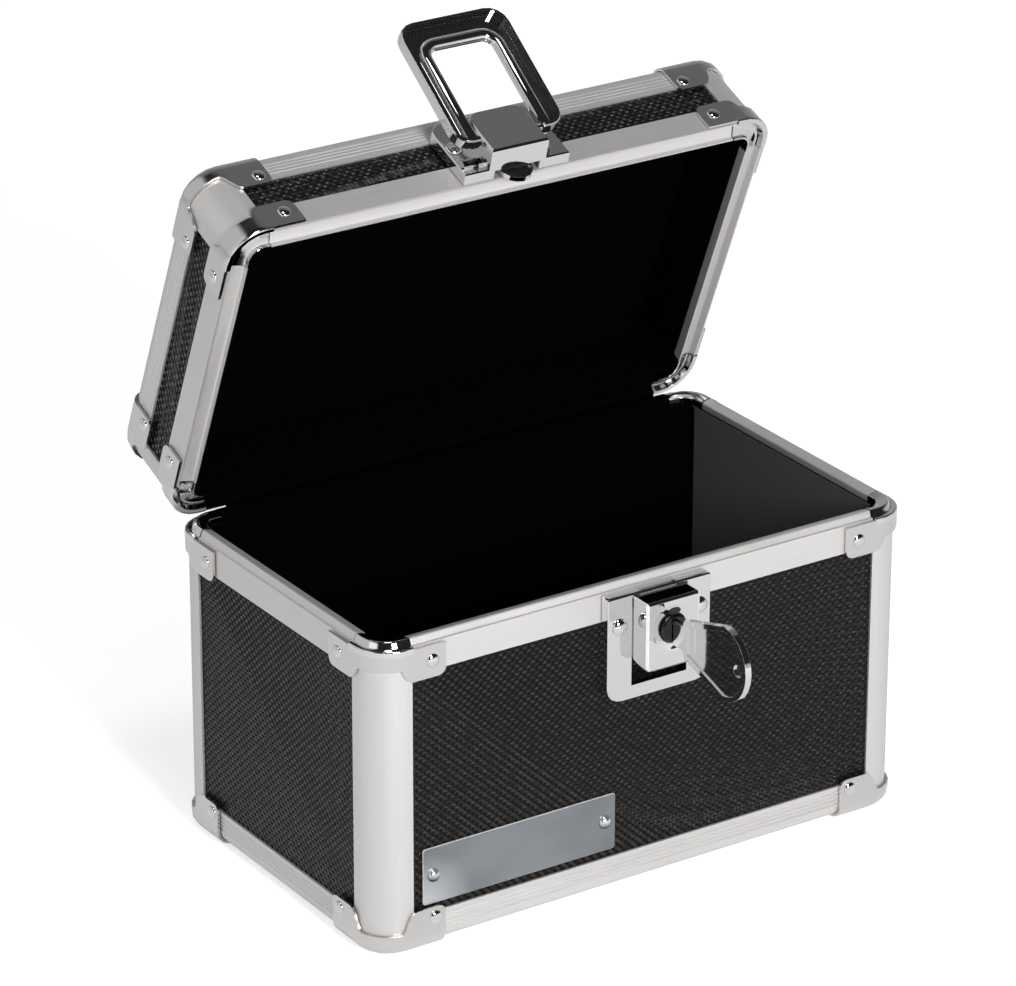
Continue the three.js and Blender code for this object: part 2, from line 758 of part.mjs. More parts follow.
/** Plain middle places of the knuckles that belong to one leaf. */
function knuckles(first) {
  const pitch = HINGE_LENGTH / HINGE_KNUCKLES;
  const places = [];
  for (let i = first; i < HINGE_KNUCKLES; i += 2) {
    const start = -HINGE_LENGTH / 2 + i * pitch;
    places.push([start + FIT / 2, start + pitch - FIT / 2]);
  }
  return places;
}

/** Rivet heads of a leaf, on its outer face at the given height. */
function leafRivets(height) {
  return Array.from({ length: HINGE_RIVETS }, (_, i) => {
    const x = HINGE_LENGTH * ((i + 0.5) / HINGE_RIVETS - 0.5);
    return rivetHead(HINGE_RIVET_RADIUS, HINGE_RIVET_HEIGHT)
      .rotateZ(Math.PI)
      .translate(x, SHEET_OUTER, height);
  });
}

/** A leaf's flat: a strip on the rear face, with tabs that reach the barrel at its own knuckles. */
function leafFlat(places, outerEdge, clearEdge, barrelEdge) {
  const half = HINGE_LENGTH / 2;
  const strip = (x0, x1, z0, z1) =>
    new THREE.BoxGeometry(x1 - x0, SHEET, Math.abs(z1 - z0)).translate(
      (x0 + x1) / 2,
      SHEET_INNER + SHEET / 2,
      (z0 + z1) / 2,
    );
  const overlap = Math.sign(outerEdge - clearEdge) * OVERLAP;
  return [
    strip(-half, half, outerEdge, clearEdge),
    ...places.map(([x0, x1]) => strip(x0, x1, clearEdge + overlap, barrelEdge)),
  ];
}

/** The base's leaf, with the pin held in its knuckles. */
function baseLeafGeometry() {
  const places = knuckles(0);
  const axis = [HINGE_PROUD, -HINGE_DROP];
  const clearEdge = -HINGE_DROP - HINGE_BARREL_RADIUS - FIT;
  return joined([
    ...leafFlat(places, -HINGE_LEAF, clearEdge, -HINGE_DROP),
    ...places.map(([x0, x1]) => rod('x', HINGE_BARREL_RADIUS, x0, x1, axis, 12)),
    rod('x', HINGE_PIN_RADIUS, -HINGE_LENGTH / 2 + FIT, HINGE_LENGTH / 2 - FIT, axis, 8),
    ...leafRivets(-(HINGE_LEAF + HINGE_DROP + HINGE_BARREL_RADIUS) / 2),
  ]);
}

/** The lid's leaf, whose knuckles turn on the pin. */
function lidLeafGeometry() {
  const places = knuckles(1);
  const axis = [HINGE_PROUD, -HINGE_DROP];
  const clearEdge = -HINGE_DROP + HINGE_BARREL_RADIUS + FIT;
  const bore = HINGE_PIN_RADIUS + HINGE_PIN_CLEARANCE;
  return joined(
    [
      ...leafFlat(places, HINGE_LEAF, Math.max(clearEdge, SEAM), -HINGE_DROP),
      ...places.map(([x0, x1]) => rod('x', HINGE_BARREL_RADIUS, x0, x1, axis, 12)),
      ...leafRivets(HINGE_LEAF / 2),
    ],
    [rod('x', bore, -HINGE_LENGTH, HINGE_LENGTH, axis, 10)],
  );
}

// Lock, drawn with x 0 on its centre line, height 0 at the seam and the front face at y 0

/** A pair of rivet heads on a pan's front, to the left and right of its middle. */
function panRivets(reach, height, proud) {
  return [-reach, reach].map((x) =>
    rivetHead(PAN_RIVET_RADIUS, PAN_RIVET_HEIGHT).translate(x, -proud, height),
  );
}

/** The pressed lock plate: a pan with a window for the housing and a gap for the lid's tongue. */
function lockPlateGeometry() {
  const half = LOCK_PLATE_WIDTH / 2;
  const pan = (inset, round, top) =>
    roundedBox(-half + inset, -LOCK_PLATE_BOTTOM + inset, half - inset, -LOCK_PLATE_TOP - inset, [
      round,
      round,
      top,
      top,
    ]);
  const outer = pan(0, LOCK_PLATE_ROUND, LOCK_PLATE_TOP_ROUND);
  const inner = pan(PAN_SHEET, LOCK_PLATE_ROUND - PAN_SHEET, 0);
  const boardFloor = -BOARD_FACE + FIT;
  const skirtTop = -RIM_LEG - FIT;
  const windowHalf = HOUSING_WIDTH / 2 + FIT;
  return joined(
    [
      ...edgedPlate(outer, boardFloor, LOCK_PLATE_PROUD, PAN_EDGE),
      ...panRivets(LOCK_RIVET_REACH, -LOCK_RIVET_DROP, LOCK_PLATE_PROUD),
    ],
    [
      frontPlate(inner, boardFloor - CLEAR, LOCK_PLATE_PROUD - PAN_SHEET),
      frontPlate(plainBox(-half - CLEAR, skirtTop, half + CLEAR, CLEAR), boardFloor - CLEAR, FIT),
      frontPlate(
        plainBox(-windowHalf, -WINDOW_BOTTOM, windowHalf, -HOUSING_TOP + FIT),
        0,
        LOCK_PLATE_PROUD + CLEAR,
      ),
      frontPlate(
        plainBox(-TONGUE_GAP_WIDTH / 2, -HOUSING_TOP, TONGUE_GAP_WIDTH / 2, CLEAR),
        0,
        LOCK_PLATE_PROUD - PAN_SHEET,
      ),
    ],
  );
}

/** The lock housing on its slide: a block with rounded edges, a sloped nose and a guide flange. */
function lockSlideGeometry() {
  const half = HOUSING_WIDTH / 2;
  const flangeFront = LOCK_PLATE_PROUD - PAN_SHEET - FIT;
  const flangeBack = flangeFront - SLIDE_FLANGE_SHEET;
  const face = roundedBox(-half, -HOUSING_NOSE, half, -HOUSING_TOP, [
    HOUSING_ROUND,
    HOUSING_ROUND,
    HOUSING_TOP_ROUND,
    HOUSING_TOP_ROUND,
  ]);
  const noseBack = -flangeBack;
  const noseTip = -HOUSING_PROUD + HOUSING_EDGE;
  const noseSlope = run(
    [
      [noseBack, -HOUSING_NOSE + HOUSING_NOSE_RISE],
      [-LOCK_PLATE_PROUD, -HOUSING_NOSE + HOUSING_NOSE_RISE],
      [noseTip, -HOUSING_NOSE],
      [noseTip, -HOUSING_NOSE - CLEAR],
      [noseBack, -HOUSING_NOSE - CLEAR],
    ],
    -half - CLEAR,
    half + CLEAR,
  );
  const flangeHalf = SLIDE_FLANGE_WIDTH / 2;
  const flange = plainBox(-flangeHalf, -SLIDE_FLANGE_BOTTOM, flangeHalf, -SLIDE_FLANGE_TOP);
  const axis = [0, -CYLINDER_DROP];
  const inFront = -HOUSING_PROUD - CLEAR;
  return joined(
    [
      ...edgedPlate(face, flangeFront, HOUSING_PROUD, HOUSING_EDGE),
      frontPlate(flange, flangeBack, flangeFront + OVERLAP / 2),
    ],
    [
      noseSlope,
      rod('y', BORE_RADIUS, inFront, 0, axis, 24),
      rod('y', CYLINDER_DISH_RADIUS, inFront, -HOUSING_PROUD + CYLINDER_DISH_DEPTH, axis, 28),
    ],
  );
}

/** The cylinder: a plug with a keyway, and its cam behind the slide. */
function cylinderGeometry() {
  const flangeBack = LOCK_PLATE_PROUD - PAN_SHEET - FIT - SLIDE_FLANGE_SHEET;
  const camFront = flangeBack - FIT;
  const camBack = camFront - CAM_SHEET;
  const keywayHalf = KEY_SHEET / 2 + FIT;
  const keywayTop = KEY_BLADE / 2 - KEY_OFFSET + FIT;
  const cam = roundedBox(-CAM_WIDTH / 2, -CAM_WIDTH / 2, CAM_REACH, CAM_WIDTH / 2, [
    CAM_HEEL_ROUND,
    CAM_HEEL_ROUND,
    CAM_TIP_ROUND,
    CAM_TIP_ROUND,
  ]);
  const keyway = roundedBox(
    -keywayHalf,
    -CYLINDER_RADIUS - CLEAR,
    keywayHalf,
    keywayTop,
    [0, 0, KEYWAY_ROUND, KEYWAY_ROUND],
    2,
  );
  const plugBack = camFront - OVERLAP / 2;
  const plug = new THREE.LatheGeometry(
    [
      [0, plugBack],
      [CYLINDER_RADIUS, plugBack],
      [CYLINDER_RADIUS, CYLINDER_PROUD - CYLINDER_EDGE],
      [CYLINDER_RADIUS - CYLINDER_EDGE, CYLINDER_PROUD],
      [0, CYLINDER_PROUD],
    ].map(([r, h]) => new THREE.Vector2(r, h)),
    24,
  ).rotateX(Math.PI);
  const geometry = joined(
    [plug, frontPlate(cam, camBack, camFront)],
    [frontPlate(keyway, CYLINDER_PROUD - KEY_BLADE_LENGTH - FIT, CYLINDER_PROUD + CLEAR)],
  );
  return geometry.translate(0, 0, -CYLINDER_DROP);
}

/** The key, drawn as (reach, height) and standing upright out of the cylinder. */
function keyGeometry() {
  const half = KEY_BLADE / 2;
  const bow = (inset) =>
    arc(KEY_BOW_REACH, 0, KEY_BOW_RADIUS - inset, -KEY_BOW_SWEEP, KEY_BOW_SWEEP, 12);
  const neckEnd = KEY_SHOULDER - KEY_SHOULDER_SLOPE;
  const plate = outline([
    [KEY_SHOULDER, KEY_SHOULDER_HALF],
    [neckEnd, KEY_NECK_HALF],
    [KEY_STOP, KEY_NECK_HALF],
    [KEY_STOP, half],
    [-KEY_BLADE_LENGTH + KEY_TIP, half],
    [-KEY_BLADE_LENGTH, half - KEY_TIP_SLOPE],
    [-KEY_BLADE_LENGTH, -half + KEY_TIP],
    [-KEY_BLADE_LENGTH + KEY_TIP_SLOPE, -half],
    [KEY_STOP, -half],
    [KEY_STOP, -KEY_NECK_HALF],
    [neckEnd, -KEY_NECK_HALF],
    [KEY_SHOULDER, -KEY_SHOULDER_HALF],
    ...bow(0),
  ]);
  plate.holes = [outline(arc(KEY_HOLE_REACH, 0, KEY_HOLE_RADIUS, 0, 330, 11))];
  const recessHalf = KEY_SHOULDER_HALF - KEY_RIM;
  const recess = outline([
    [KEY_SHOULDER + KEY_RIM, recessHalf],
    [KEY_SHOULDER + KEY_RIM, -recessHalf],
    ...bow(KEY_RIM),
  ]);
  const flat = joined(
    [extrude(plate, KEY_SHEET).translate(0, 0, -KEY_SHEET / 2)],
    [
      extrude(recess, CLEAR).translate(0, 0, KEY_SHEET / 2 - KEY_RECESS),
      extrude(recess, CLEAR).translate(0, 0, -KEY_SHEET / 2 + KEY_RECESS - CLEAR),
    ],
  );
  const standing = new THREE.Matrix4().makeBasis(
    new THREE.Vector3(0, -1, 0),
    new THREE.Vector3(0, 0, 1),
    new THREE.Vector3(-1, 0, 0),
  );
  return flat.applyMatrix4(standing).translate(0, -CYLINDER_PROUD, -CYLINDER_DROP - KEY_OFFSET);
}

// Latch, drawn on the closed lid with x 0 on its centre line and height 0 at the seam

/** The latch plate: a pan, the boss that carries the loop, and the tongue that locates the lid. */
function latchPlateGeometry() {
  const half = LATCH_PLATE_WIDTH / 2;
  const pan = (inset, round) =>
    roundedBox(-half + inset, LATCH_PLATE_BOTTOM + inset, half - inset, LATCH_PLATE_TOP - inset, [
      0,
      0,
      round,
      round,
    ]);
  const bossHalf = BOSS_WIDTH / 2;
  const boss = roundedBox(-bossHalf, LATCH_PLATE_BOTTOM, bossHalf, BOSS_TOP, [
    0,
    0,
    BOSS_ROUND,
    BOSS_ROUND,
  ]);
  const locatorCentre = LOCATOR_RADIUS - LOCATOR_DROP;
  const locatorTop = locatorCentre + LOCATOR_STEM;
  const locator = [
    ...arc(0, locatorCentre, LOCATOR_RADIUS, 180, 360, 8),
    [LOCATOR_RADIUS, locatorTop],
    [-LOCATOR_RADIUS, locatorTop],
  ];
  const stem = plainBox(-LOCATOR_RADIUS, locatorCentre, LOCATOR_RADIUS, locatorTop);
  const axis = [-LOOP_PIVOT_PROUD, LOOP_PIVOT_HEIGHT];
  const pinHole = LOOP_PIN_RADIUS + FIT;
  const shell = joined(
    [
      ...edgedPlate(pan(0, LATCH_PLATE_ROUND), FIT, LATCH_PLATE_PROUD, PAN_EDGE),
      ...edgedPlate(boss, LATCH_PLATE_PROUD - OVERLAP, BOSS_PROUD, BOSS_EDGE),
      ...panRivets(LATCH_RIVET_REACH, LATCH_RIVET_HEIGHT, LATCH_PLATE_PROUD),
    ],
    [
      frontPlate(pan(PAN_SHEET, LATCH_PLATE_ROUND - PAN_SHEET), 0, LATCH_PLATE_PROUD - PAN_SHEET),
      frontPlate(
        plainBox(
          -LATCH_GAP_WIDTH / 2,
          0,
          LATCH_GAP_WIDTH / 2,
          LATCH_PLATE_BOTTOM + PAN_SHEET + FIT,
        ),
        0,
        LATCH_PLATE_PROUD - PAN_SHEET,
      ),
      rod('x', pinHole, -bossHalf - CLEAR, bossHalf + CLEAR, axis, 12),
    ],
  );
  return joined([
    shell,
    frontPlate(locator, LOCATOR_PROUD, LOCATOR_PROUD + LOCATOR_SHEET),
    frontPlate(stem, LOCATOR_PROUD, LATCH_PLATE_PROUD - PAN_SHEET / 2),
  ]);
}

/**
 * The finger loop, drawn upright in (x, reach from its pivot) with its hollow side to the front: a
 * floor, a thin outer wall, and a rounded roll beside the window.
 */
function loopGeometry() {
  const outer = LOOP_OUTER_WIDTH / 2;
  const inner = LOOP_INNER_WIDTH / 2;
  const farCentre = LOOP_INNER_REACH + LOOP_FAR_BAR - LOOP_FAR_ROUND;
  const nearCentre = -LOOP_NEAR_END + LOOP_NEAR_ROUND;
  const windowX = inner - LOOP_INNER_ROUND;
  const windowY = LOOP_INNER_REACH - LOOP_INNER_ROUND;
  const windowEdge = (inset) => [
    ...arc(-windowX, windowY, LOOP_INNER_ROUND + inset, 180, 90, 4),
    ...arc(windowX, windowY, LOOP_INNER_ROUND + inset, 90, 0, 4),
  ];
  const bars = (outerInset, innerInset) => {
    const near = -LOOP_NEAR_END + outerInset;
    const farRound = LOOP_FAR_ROUND - outerInset;
    const nearRound = LOOP_NEAR_ROUND - outerInset;
    return [
      ...arc(outer - LOOP_NEAR_ROUND, nearCentre, nearRound, -90, 0, 4),
      ...arc(outer - LOOP_FAR_ROUND, farCentre, farRound, 0, 90, 4),
      ...arc(-outer + LOOP_FAR_ROUND, farCentre, farRound, 90, 180, 4),
      ...arc(-outer + LOOP_NEAR_ROUND, nearCentre, nearRound, 180, 270, 4),
      [-inner - innerInset, near],
      ...windowEdge(innerInset),
      [inner + innerInset, near],
    ];
  };
  const rollNear = -LOOP_NEAR_END + LOOP_WALL / 2;
  const roll = [
    [-inner, rollNear],
    [-inner - LOOP_ROLL, rollNear],
    ...windowEdge(LOOP_ROLL),
    [inner + LOOP_ROLL, rollNear],
    [inner, rollNear],
    ...windowEdge(0).reverse(),
  ];
  const rimPlane = LOOP_THICKNESS - LOOP_BACK;
  const floor = LOOP_FLOOR - LOOP_BACK;
  const tray = joined(
    [frontPlate(bars(0, 0), -LOOP_BACK, rimPlane, { chamfer: LOOP_EDGE })],
    [frontPlate(bars(LOOP_WALL, -CLEAR), floor, rimPlane + CLEAR)],
  );
  const lugEnd = inner + LOOP_LUG_LENGTH;
  const pinEnd = inner - LOOP_PIN_LENGTH;
  const centre = [0, 0];
  return joined([
    tray,
    ...edgedPlate(roll, floor - OVERLAP, rimPlane - LOOP_ROLL_DROP, LOOP_ROLL_EDGE),
    rod('x', LOOP_LUG_RADIUS, -lugEnd, -inner, centre, 12),
    rod('x', LOOP_LUG_RADIUS, inner, lugEnd, centre, 12),
    rod('x', LOOP_PIN_RADIUS, -lugEnd, -pinEnd, centre, 12),
    rod('x', LOOP_PIN_RADIUS, pinEnd, lugEnd, centre, 12),
  ]);
}

// Assembly: everything up to the seam stands on the ground, and the lid turns on the hinge

const box = new THREE.Group();
const seamHeight = GROUND + BASE_HEIGHT;

const base = half({
  prefix: 'base',
  height: BASE_HEIGHT,
  rim: tongue(),
  elbowFloor: -ELBOW_FLOOR,
  bracketBottom: BASE_BRACKET_BOTTOM,
  feltGap: BASE_FELT_GAP,
  closedEnd: 'bottom',
  upsideDown: false,
});
base.position.set(0, CASE_BACK, GROUND);
box.add(base);

const rearFace = new THREE.Group();
rearFace.position.set(0, CASE_BACK + DEPTH / 2, seamHeight);
rearFace.add(piece('hinge_base_leaf', baseLeafGeometry(), NICKEL));
box.add(rearFace);

const lock = new THREE.Group();
lock.position.set(LOCK_OFFSET, CASE_BACK - DEPTH / 2, seamHeight);
lock.add(
  piece('lock_plate', lockPlateGeometry(), CHROME),
  piece('lock_slide', lockSlideGeometry(), CHROME),
  piece('lock_cylinder', cylinderGeometry(), NICKEL),
  piece('key', keyGeometry(), CHROME),
);
box.add(lock);

const lid = new THREE.Group();
const hingeY = DEPTH / 2 + HINGE_PROUD;
const hingeZ = seamHeight - HINGE_DROP;
lid.position.set(0, CASE_BACK + hingeY, hingeZ);
lid.rotation.x = -LID_OPEN;

const lidShell = half({
  prefix: 'lid',
  height: LID_HEIGHT,
  rim: groove(),
  elbowFloor: -LIP_DEPTH,
  bracketBottom: LID_BRACKET_BOTTOM,
  feltGap: LIP_DEPTH + FIT,
  closedEnd: 'top',
  upsideDown: true,
});
lidShell.rotation.x = Math.PI;
lidShell.position.set(0, -hingeY, seamHeight + LID_HEIGHT - hingeZ);

const lidLeaf = piece('hinge_lid_leaf', lidLeafGeometry(), NICKEL);
lidLeaf.position.set(0, DEPTH / 2 - hingeY, seamHeight - hingeZ);

const latch = new THREE.Group();
latch.position.set(LOCK_OFFSET, -DEPTH / 2 - hingeY, seamHeight - hingeZ);
const loop = piece('finger_loop', loopGeometry(), CHROME);
loop.position.set(0, -LOOP_PIVOT_PROUD, LOOP_PIVOT_HEIGHT);
loop.rotation.x = LOOP_LEAN;
latch.add(piece('latch_plate', latchPlateGeometry(), CHROME), loop);

lid.add(lidShell, lidLeaf, latch);
box.add(lid);

export default box;
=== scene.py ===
"""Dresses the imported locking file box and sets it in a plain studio.

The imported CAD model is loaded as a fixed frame, in metres. Each sub-assembly is a class that
holds its sizes in millimetres, models its pieces and gives them their finishes.
"""

import json
import logging
import math
from collections.abc import Callable, Iterator, Sequence
from contextlib import contextmanager
from dataclasses import dataclass
from enum import Enum
from typing import ClassVar

import bpy
from mathutils import Matrix, Vector

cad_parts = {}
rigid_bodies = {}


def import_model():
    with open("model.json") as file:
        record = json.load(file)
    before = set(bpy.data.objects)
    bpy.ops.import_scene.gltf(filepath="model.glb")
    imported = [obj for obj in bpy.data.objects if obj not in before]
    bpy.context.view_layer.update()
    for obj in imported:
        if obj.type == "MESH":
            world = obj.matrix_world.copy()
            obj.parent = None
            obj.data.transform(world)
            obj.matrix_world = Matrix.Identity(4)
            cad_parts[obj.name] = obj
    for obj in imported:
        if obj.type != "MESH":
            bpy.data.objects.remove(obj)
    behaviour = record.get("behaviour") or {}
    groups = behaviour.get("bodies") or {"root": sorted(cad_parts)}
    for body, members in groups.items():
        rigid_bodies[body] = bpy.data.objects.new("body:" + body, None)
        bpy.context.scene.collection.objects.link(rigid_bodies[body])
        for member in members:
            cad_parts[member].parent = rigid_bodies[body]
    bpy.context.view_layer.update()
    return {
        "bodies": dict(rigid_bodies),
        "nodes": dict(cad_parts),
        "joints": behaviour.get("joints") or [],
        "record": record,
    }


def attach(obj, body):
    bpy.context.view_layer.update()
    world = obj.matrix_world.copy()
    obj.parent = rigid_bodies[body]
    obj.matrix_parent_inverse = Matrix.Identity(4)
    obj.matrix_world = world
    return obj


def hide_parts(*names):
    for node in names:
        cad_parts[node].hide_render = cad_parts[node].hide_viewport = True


LOG = logging.getLogger("file_box")
MM = 0.001
RELIEF = "relief"

# ranges of a value: the whole of it, and the middle that a noise mostly keeps to
WHOLE = (0.0, 1.0)
NOISE_MIDDLE = (0.3, 0.7)

# least angles of a sharp edge, in degrees
SHARP = 30.0
DOME_SHARP = 50.0
ROLL_SHARP = 60.0

# how far a place may be from the one that is looked for, in millimetres
NEAR = 0.01

# how much of a face's normal runs along an axis when the face looks that way
FACING = 0.9

Piece = bpy.types.Object
Socket = bpy.types.NodeSocket
Triple = tuple[float, float, float]
Colour = Triple
Span = tuple[float, float]
Pairs = tuple[tuple[float, float], ...]


class Half(Enum):
    """The two halves of the box, by the name of their CAD body."""

    BASE = "base"
    LID = "lid"

    @classmethod
    def of(cls, node: str) -> "Half":
        """The half that a CAD node belongs to, by its name."""
        return cls.LID if node.startswith("lid") else cls.BASE

    @property
    def is_lid(self) -> bool:
        """Whether this is the lid."""
        return self is Half.LID


class Grain(Enum):
    """The way that the drawing marks run on an extrusion, in the closed box."""

    X = 0
    Y = 1
    Z = 2


class Side(Enum):
    """The four walls, each with the angle that turns the front wall to it."""

    FRONT = 0
    RIGHT = 90
    REAR = 180
    LEFT = -90


class Corner(Enum):
    """The four upright corners: left or right, front or rear, and the angle from the first."""

    FRONT_LEFT = (-1, -1, 0)
    FRONT_RIGHT = (1, -1, 90)
    REAR_RIGHT = (1, 1, 180)
    REAR_LEFT = (-1, 1, -90)


class Slot(Enum):
    """The record's material slots."""

    ALUMINIUM = "aluminium"
    NICKEL = "nickel"
    CHROME = "chrome"
    BOARD = "board"
    FELT = "felt"


def shift(x: float, y: float, z: float) -> Matrix:
    """A move in millimetres."""
    return Matrix.Translation(Vector((x, y, z)) * MM)


def turn(angle: float, axis: str = "Z") -> Matrix:
    """A turn in degrees about an axis through the origin."""
    return Matrix.Rotation(math.radians(angle), 4, axis)


@dataclass(frozen=True)
class CaseSizes:
    """The sizes of the case that the pieces share, in millimetres and degrees."""

    width: float = 184.0
    depth: float = 108.6
    base_height: float = 94.9
    lid_height: float = 30.2
    case_back: float = 7.8
    ground: float = 1.05
    rail_leg: float = 10.2
    rim_leg: float = 8.9
    post_leg: float = 12.3
    wall: float = 5.3
    fit: float = 0.25
    sheet_outer: float = 1.05
    board_face: float = 1.15
    corner_round: float = 10.0
    hinge_proud: float = 1.55
    hinge_drop: float = 2.4
    lid_open: float = 67.6
    lock_offset: float = 1.3

    @property
    def seam_height(self) -> float:
        """Height of the seam between base and lid."""
        return self.ground + self.base_height

    @property
    def front(self) -> float:
        """Y of the front face."""
        return self.case_back - self.depth / 2

    def lid_matrix(self) -> Matrix:
        """Turns the closed lid about the hinge to its place at rest.

        Returns:
            The matrix from the closed box to the open lid.
        """
        y = self.case_back + self.depth / 2 + self.hinge_proud
        z = self.seam_height - self.hinge_drop
        return shift(0, y, z) @ turn(-self.lid_open, "X") @ shift(0, -y, -z)

    def half_matrix(self, half: Half) -> Matrix:
        """Places a half that is drawn with its closed end on the ground.

        Args:
            half: The base, which stands as drawn, or the lid, which is turned over.

        Returns:
            The matrix from the drawing, in metres, to the half at rest.
        """
        if half is Half.BASE:
            return shift(0, self.case_back, self.ground)
        top = self.seam_height + self.lid_height
        return self.lid_matrix() @ shift(0, self.case_back, top) @ turn(180, "X")

    def height(self, half: Half) -> float:
        """Height of a half from its closed end to its rim."""
        return self.lid_height if half.is_lid else self.base_height

    def corner_matrix(self, half: Half, corner: Corner) -> Matrix:
        """Places a piece that is drawn at a corner at the origin, with faces along +X and +Y.

        Args:
            half: The half that the corner belongs to.
            corner: The corner, as the half is drawn.

        Returns:
            The matrix from the drawing, in metres, to the corner at rest.
        """
        x, y, angle = corner.value
        place = shift(x * self.width / 2, y * self.depth / 2, 0)
        return self.half_matrix(half) @ place @ turn(angle)


# Modelling, through the operators


def deselect_all() -> None:
    """Leaves edit mode and clears the selection."""
    if bpy.context.object and bpy.context.object.mode != "OBJECT":
        bpy.ops.object.mode_set(mode="OBJECT")
    bpy.ops.object.select_all(action="DESELECT")


def activate(piece: Piece) -> None:
    """Makes a piece the only one selected, and the active one."""
    deselect_all()
    piece.select_set(True)
    bpy.context.view_layer.objects.active = piece


def pick(piece: Piece, mode: str, chosen: Callable[[Vector], bool]) -> None:
    """Selects the elements of a mesh that pass a test.

    Args:
        piece: The mesh, in object mode.
        mode: VERT, EDGE or FACE.
        chosen: The test, on a vertex's place, an edge's run or a face's middle.
    """
    mesh = piece.data
    for element in (*mesh.vertices, *mesh.edges, *mesh.polygons):
        element.select = False
    if mode == "VERT":
        for vertex in mesh.vertices:
            vertex.select = chosen(vertex.co)
    elif mode == "EDGE":
        for edge in mesh.edges:
            start, end = (mesh.vertices[i].co for i in edge.vertices)
            edge.select = chosen(end - start)
    else:
        for face in mesh.polygons:
            face.select = chosen(face.center)


@contextmanager
def editing(
    piece: Piece, mode: str = "FACE", chosen: Callable[[Vector], bool] | None = None
) -> Iterator[None]:
    """Opens a piece in edit mode with its elements selected, and leaves edit mode at the end.

    Args:
        piece: The mesh to edit.
        mode: What is selected: VERT, EDGE or FACE.
        chosen: The test that picks the elements, as for pick. Without it all are selected.
    """
    activate(piece)
    bpy.ops.object.mode_set(mode="EDIT")
    bpy.ops.mesh.select_mode(type=mode)
    bpy.ops.mesh.select_all(action="SELECT")
    if chosen:
        bpy.ops.object.mode_set(mode="OBJECT")
        pick(piece, mode, chosen)
        bpy.ops.object.mode_set(mode="EDIT")
    yield
    bpy.ops.object.mode_set(mode="OBJECT")


def extrude(x: float, y: float, z: float) -> None:
    """Extrudes the selection by a move in millimetres."""
    move = (x * MM, y * MM, z * MM)
    bpy.ops.mesh.extrude_region_move(TRANSFORM_OT_translate={"value": move})


def face_outwards() -> None:
    """Selects the whole of the open mesh and turns its faces outwards."""
    bpy.ops.mesh.select_all(action="SELECT")
    bpy.ops.mesh.normals_make_consistent(inside=False)


def round_edges(
    piece: Piece, chosen: Callable[[Vector], bool], radius: float, segments: int
) -> None:
    """Rounds the edges whose run passes a test.

    Args:
        piece: The mesh.
        chosen: The test, on the run from one end of an edge to the other.
        radius: Radius of the rounding, in millimetres.
        segments: Faces across it.
    """
    with editing(piece, "EDGE", chosen):
        bpy.ops.mesh.bevel(offset=radius * MM, segments=segments)


def settle(piece: Piece) -> Piece:
    """Moves a piece's place, turn and size into its mesh."""
    activate(piece)
    bpy.ops.object.transform_apply(location=True, rotation=True, scale=True)
    return piece


def moved(piece: Piece, matrix: Matrix) -> Piece:
    """Places a piece by a matrix and settles it there."""
    piece.matrix_world = matrix @ piece.matrix_world
    return settle(piece)


def stamped(template: Piece, name: str, matrix: Matrix) -> Piece:
    """Copies a piece, with a mesh of its own, and settles the copy by a matrix.

    Args:
        template: The piece to copy, settled at the origin.
        name: The copy's name.
        matrix: Where the copy goes.

    Returns:
        The copy.
    """
    copy = template.copy()
    copy.data = template.data.copy()
    copy.name = copy.data.name = name
    bpy.context.collection.objects.link(copy)
    return moved(copy, matrix)


def joined(pieces: Sequence[Piece], name: str) -> Piece:
    """Joins pieces into the first one and names it."""
    deselect_all()
    for piece in pieces:
        piece.select_set(True)
    bpy.context.view_layer.objects.active = pieces[0]
    bpy.ops.object.join()
    pieces[0].name = pieces[0].data.name = name
    return pieces[0]


def discard(piece: Piece) -> None:
    """Removes a template that isn't shown."""
    bpy.data.objects.remove(piece, do_unlink=True)


def with_modifier(piece: Piece, kind: str, **settings: object) -> Piece:
    """Adds a modifier with its settings and applies it.

    Args:
        piece: The mesh.
        kind: The modifier's type.
        **settings: Its properties.

    Returns:
        The same piece.
    """
    activate(piece)
    modifier = piece.modifiers.new(kind.title(), kind)
    for key, value in settings.items():
        setattr(modifier, key, value)
    bpy.ops.object.modifier_apply(modifier=modifier.name)
    return piece


def smooth(piece: Piece, angle: float) -> Piece:
    """Shades a piece smooth up to an angle in degrees."""
    activate(piece)
    bpy.ops.object.shade_smooth_by_angle(angle=math.radians(angle))
    return piece


def shaded(piece: Piece, angle: float = SHARP) -> Piece:
    """Shades a piece smooth up to an angle in degrees, with its large faces kept flat."""
    return with_modifier(smooth(piece, angle), "WEIGHTED_NORMAL", keep_sharp=True, weight=80)


def softened(piece: Piece, width: float, segments: int = 2, angle: float = SHARP) -> Piece:
    """Rounds a piece's sharp edges and shades it smooth between the ones that stay.

    Args:
        piece: The mesh.
        width: Width of the rounding, in millimetres.
        segments: Faces across the rounding.
        angle: The least angle of a sharp edge, in degrees.

    Returns:
        The same piece.
    """
    with_modifier(
        piece, "BEVEL", width=width * MM, segments=segments, limit_method="ANGLE",
        angle_limit=math.radians(angle), use_clamp_overlap=True, harden_normals=False,
    )
    return shaded(piece, angle)


def primitive(add: Callable, name: str, **settings: object) -> Piece:
    """Adds one of Blender's primitive meshes.

    Args:
        add: The operator that adds it.
        name: The piece's name.
        **settings: The operator's settings, in metres.

    Returns:
        The piece.
    """
    deselect_all()
    add(**settings)
    piece = bpy.context.object
    piece.name = piece.data.name = name
    return piece


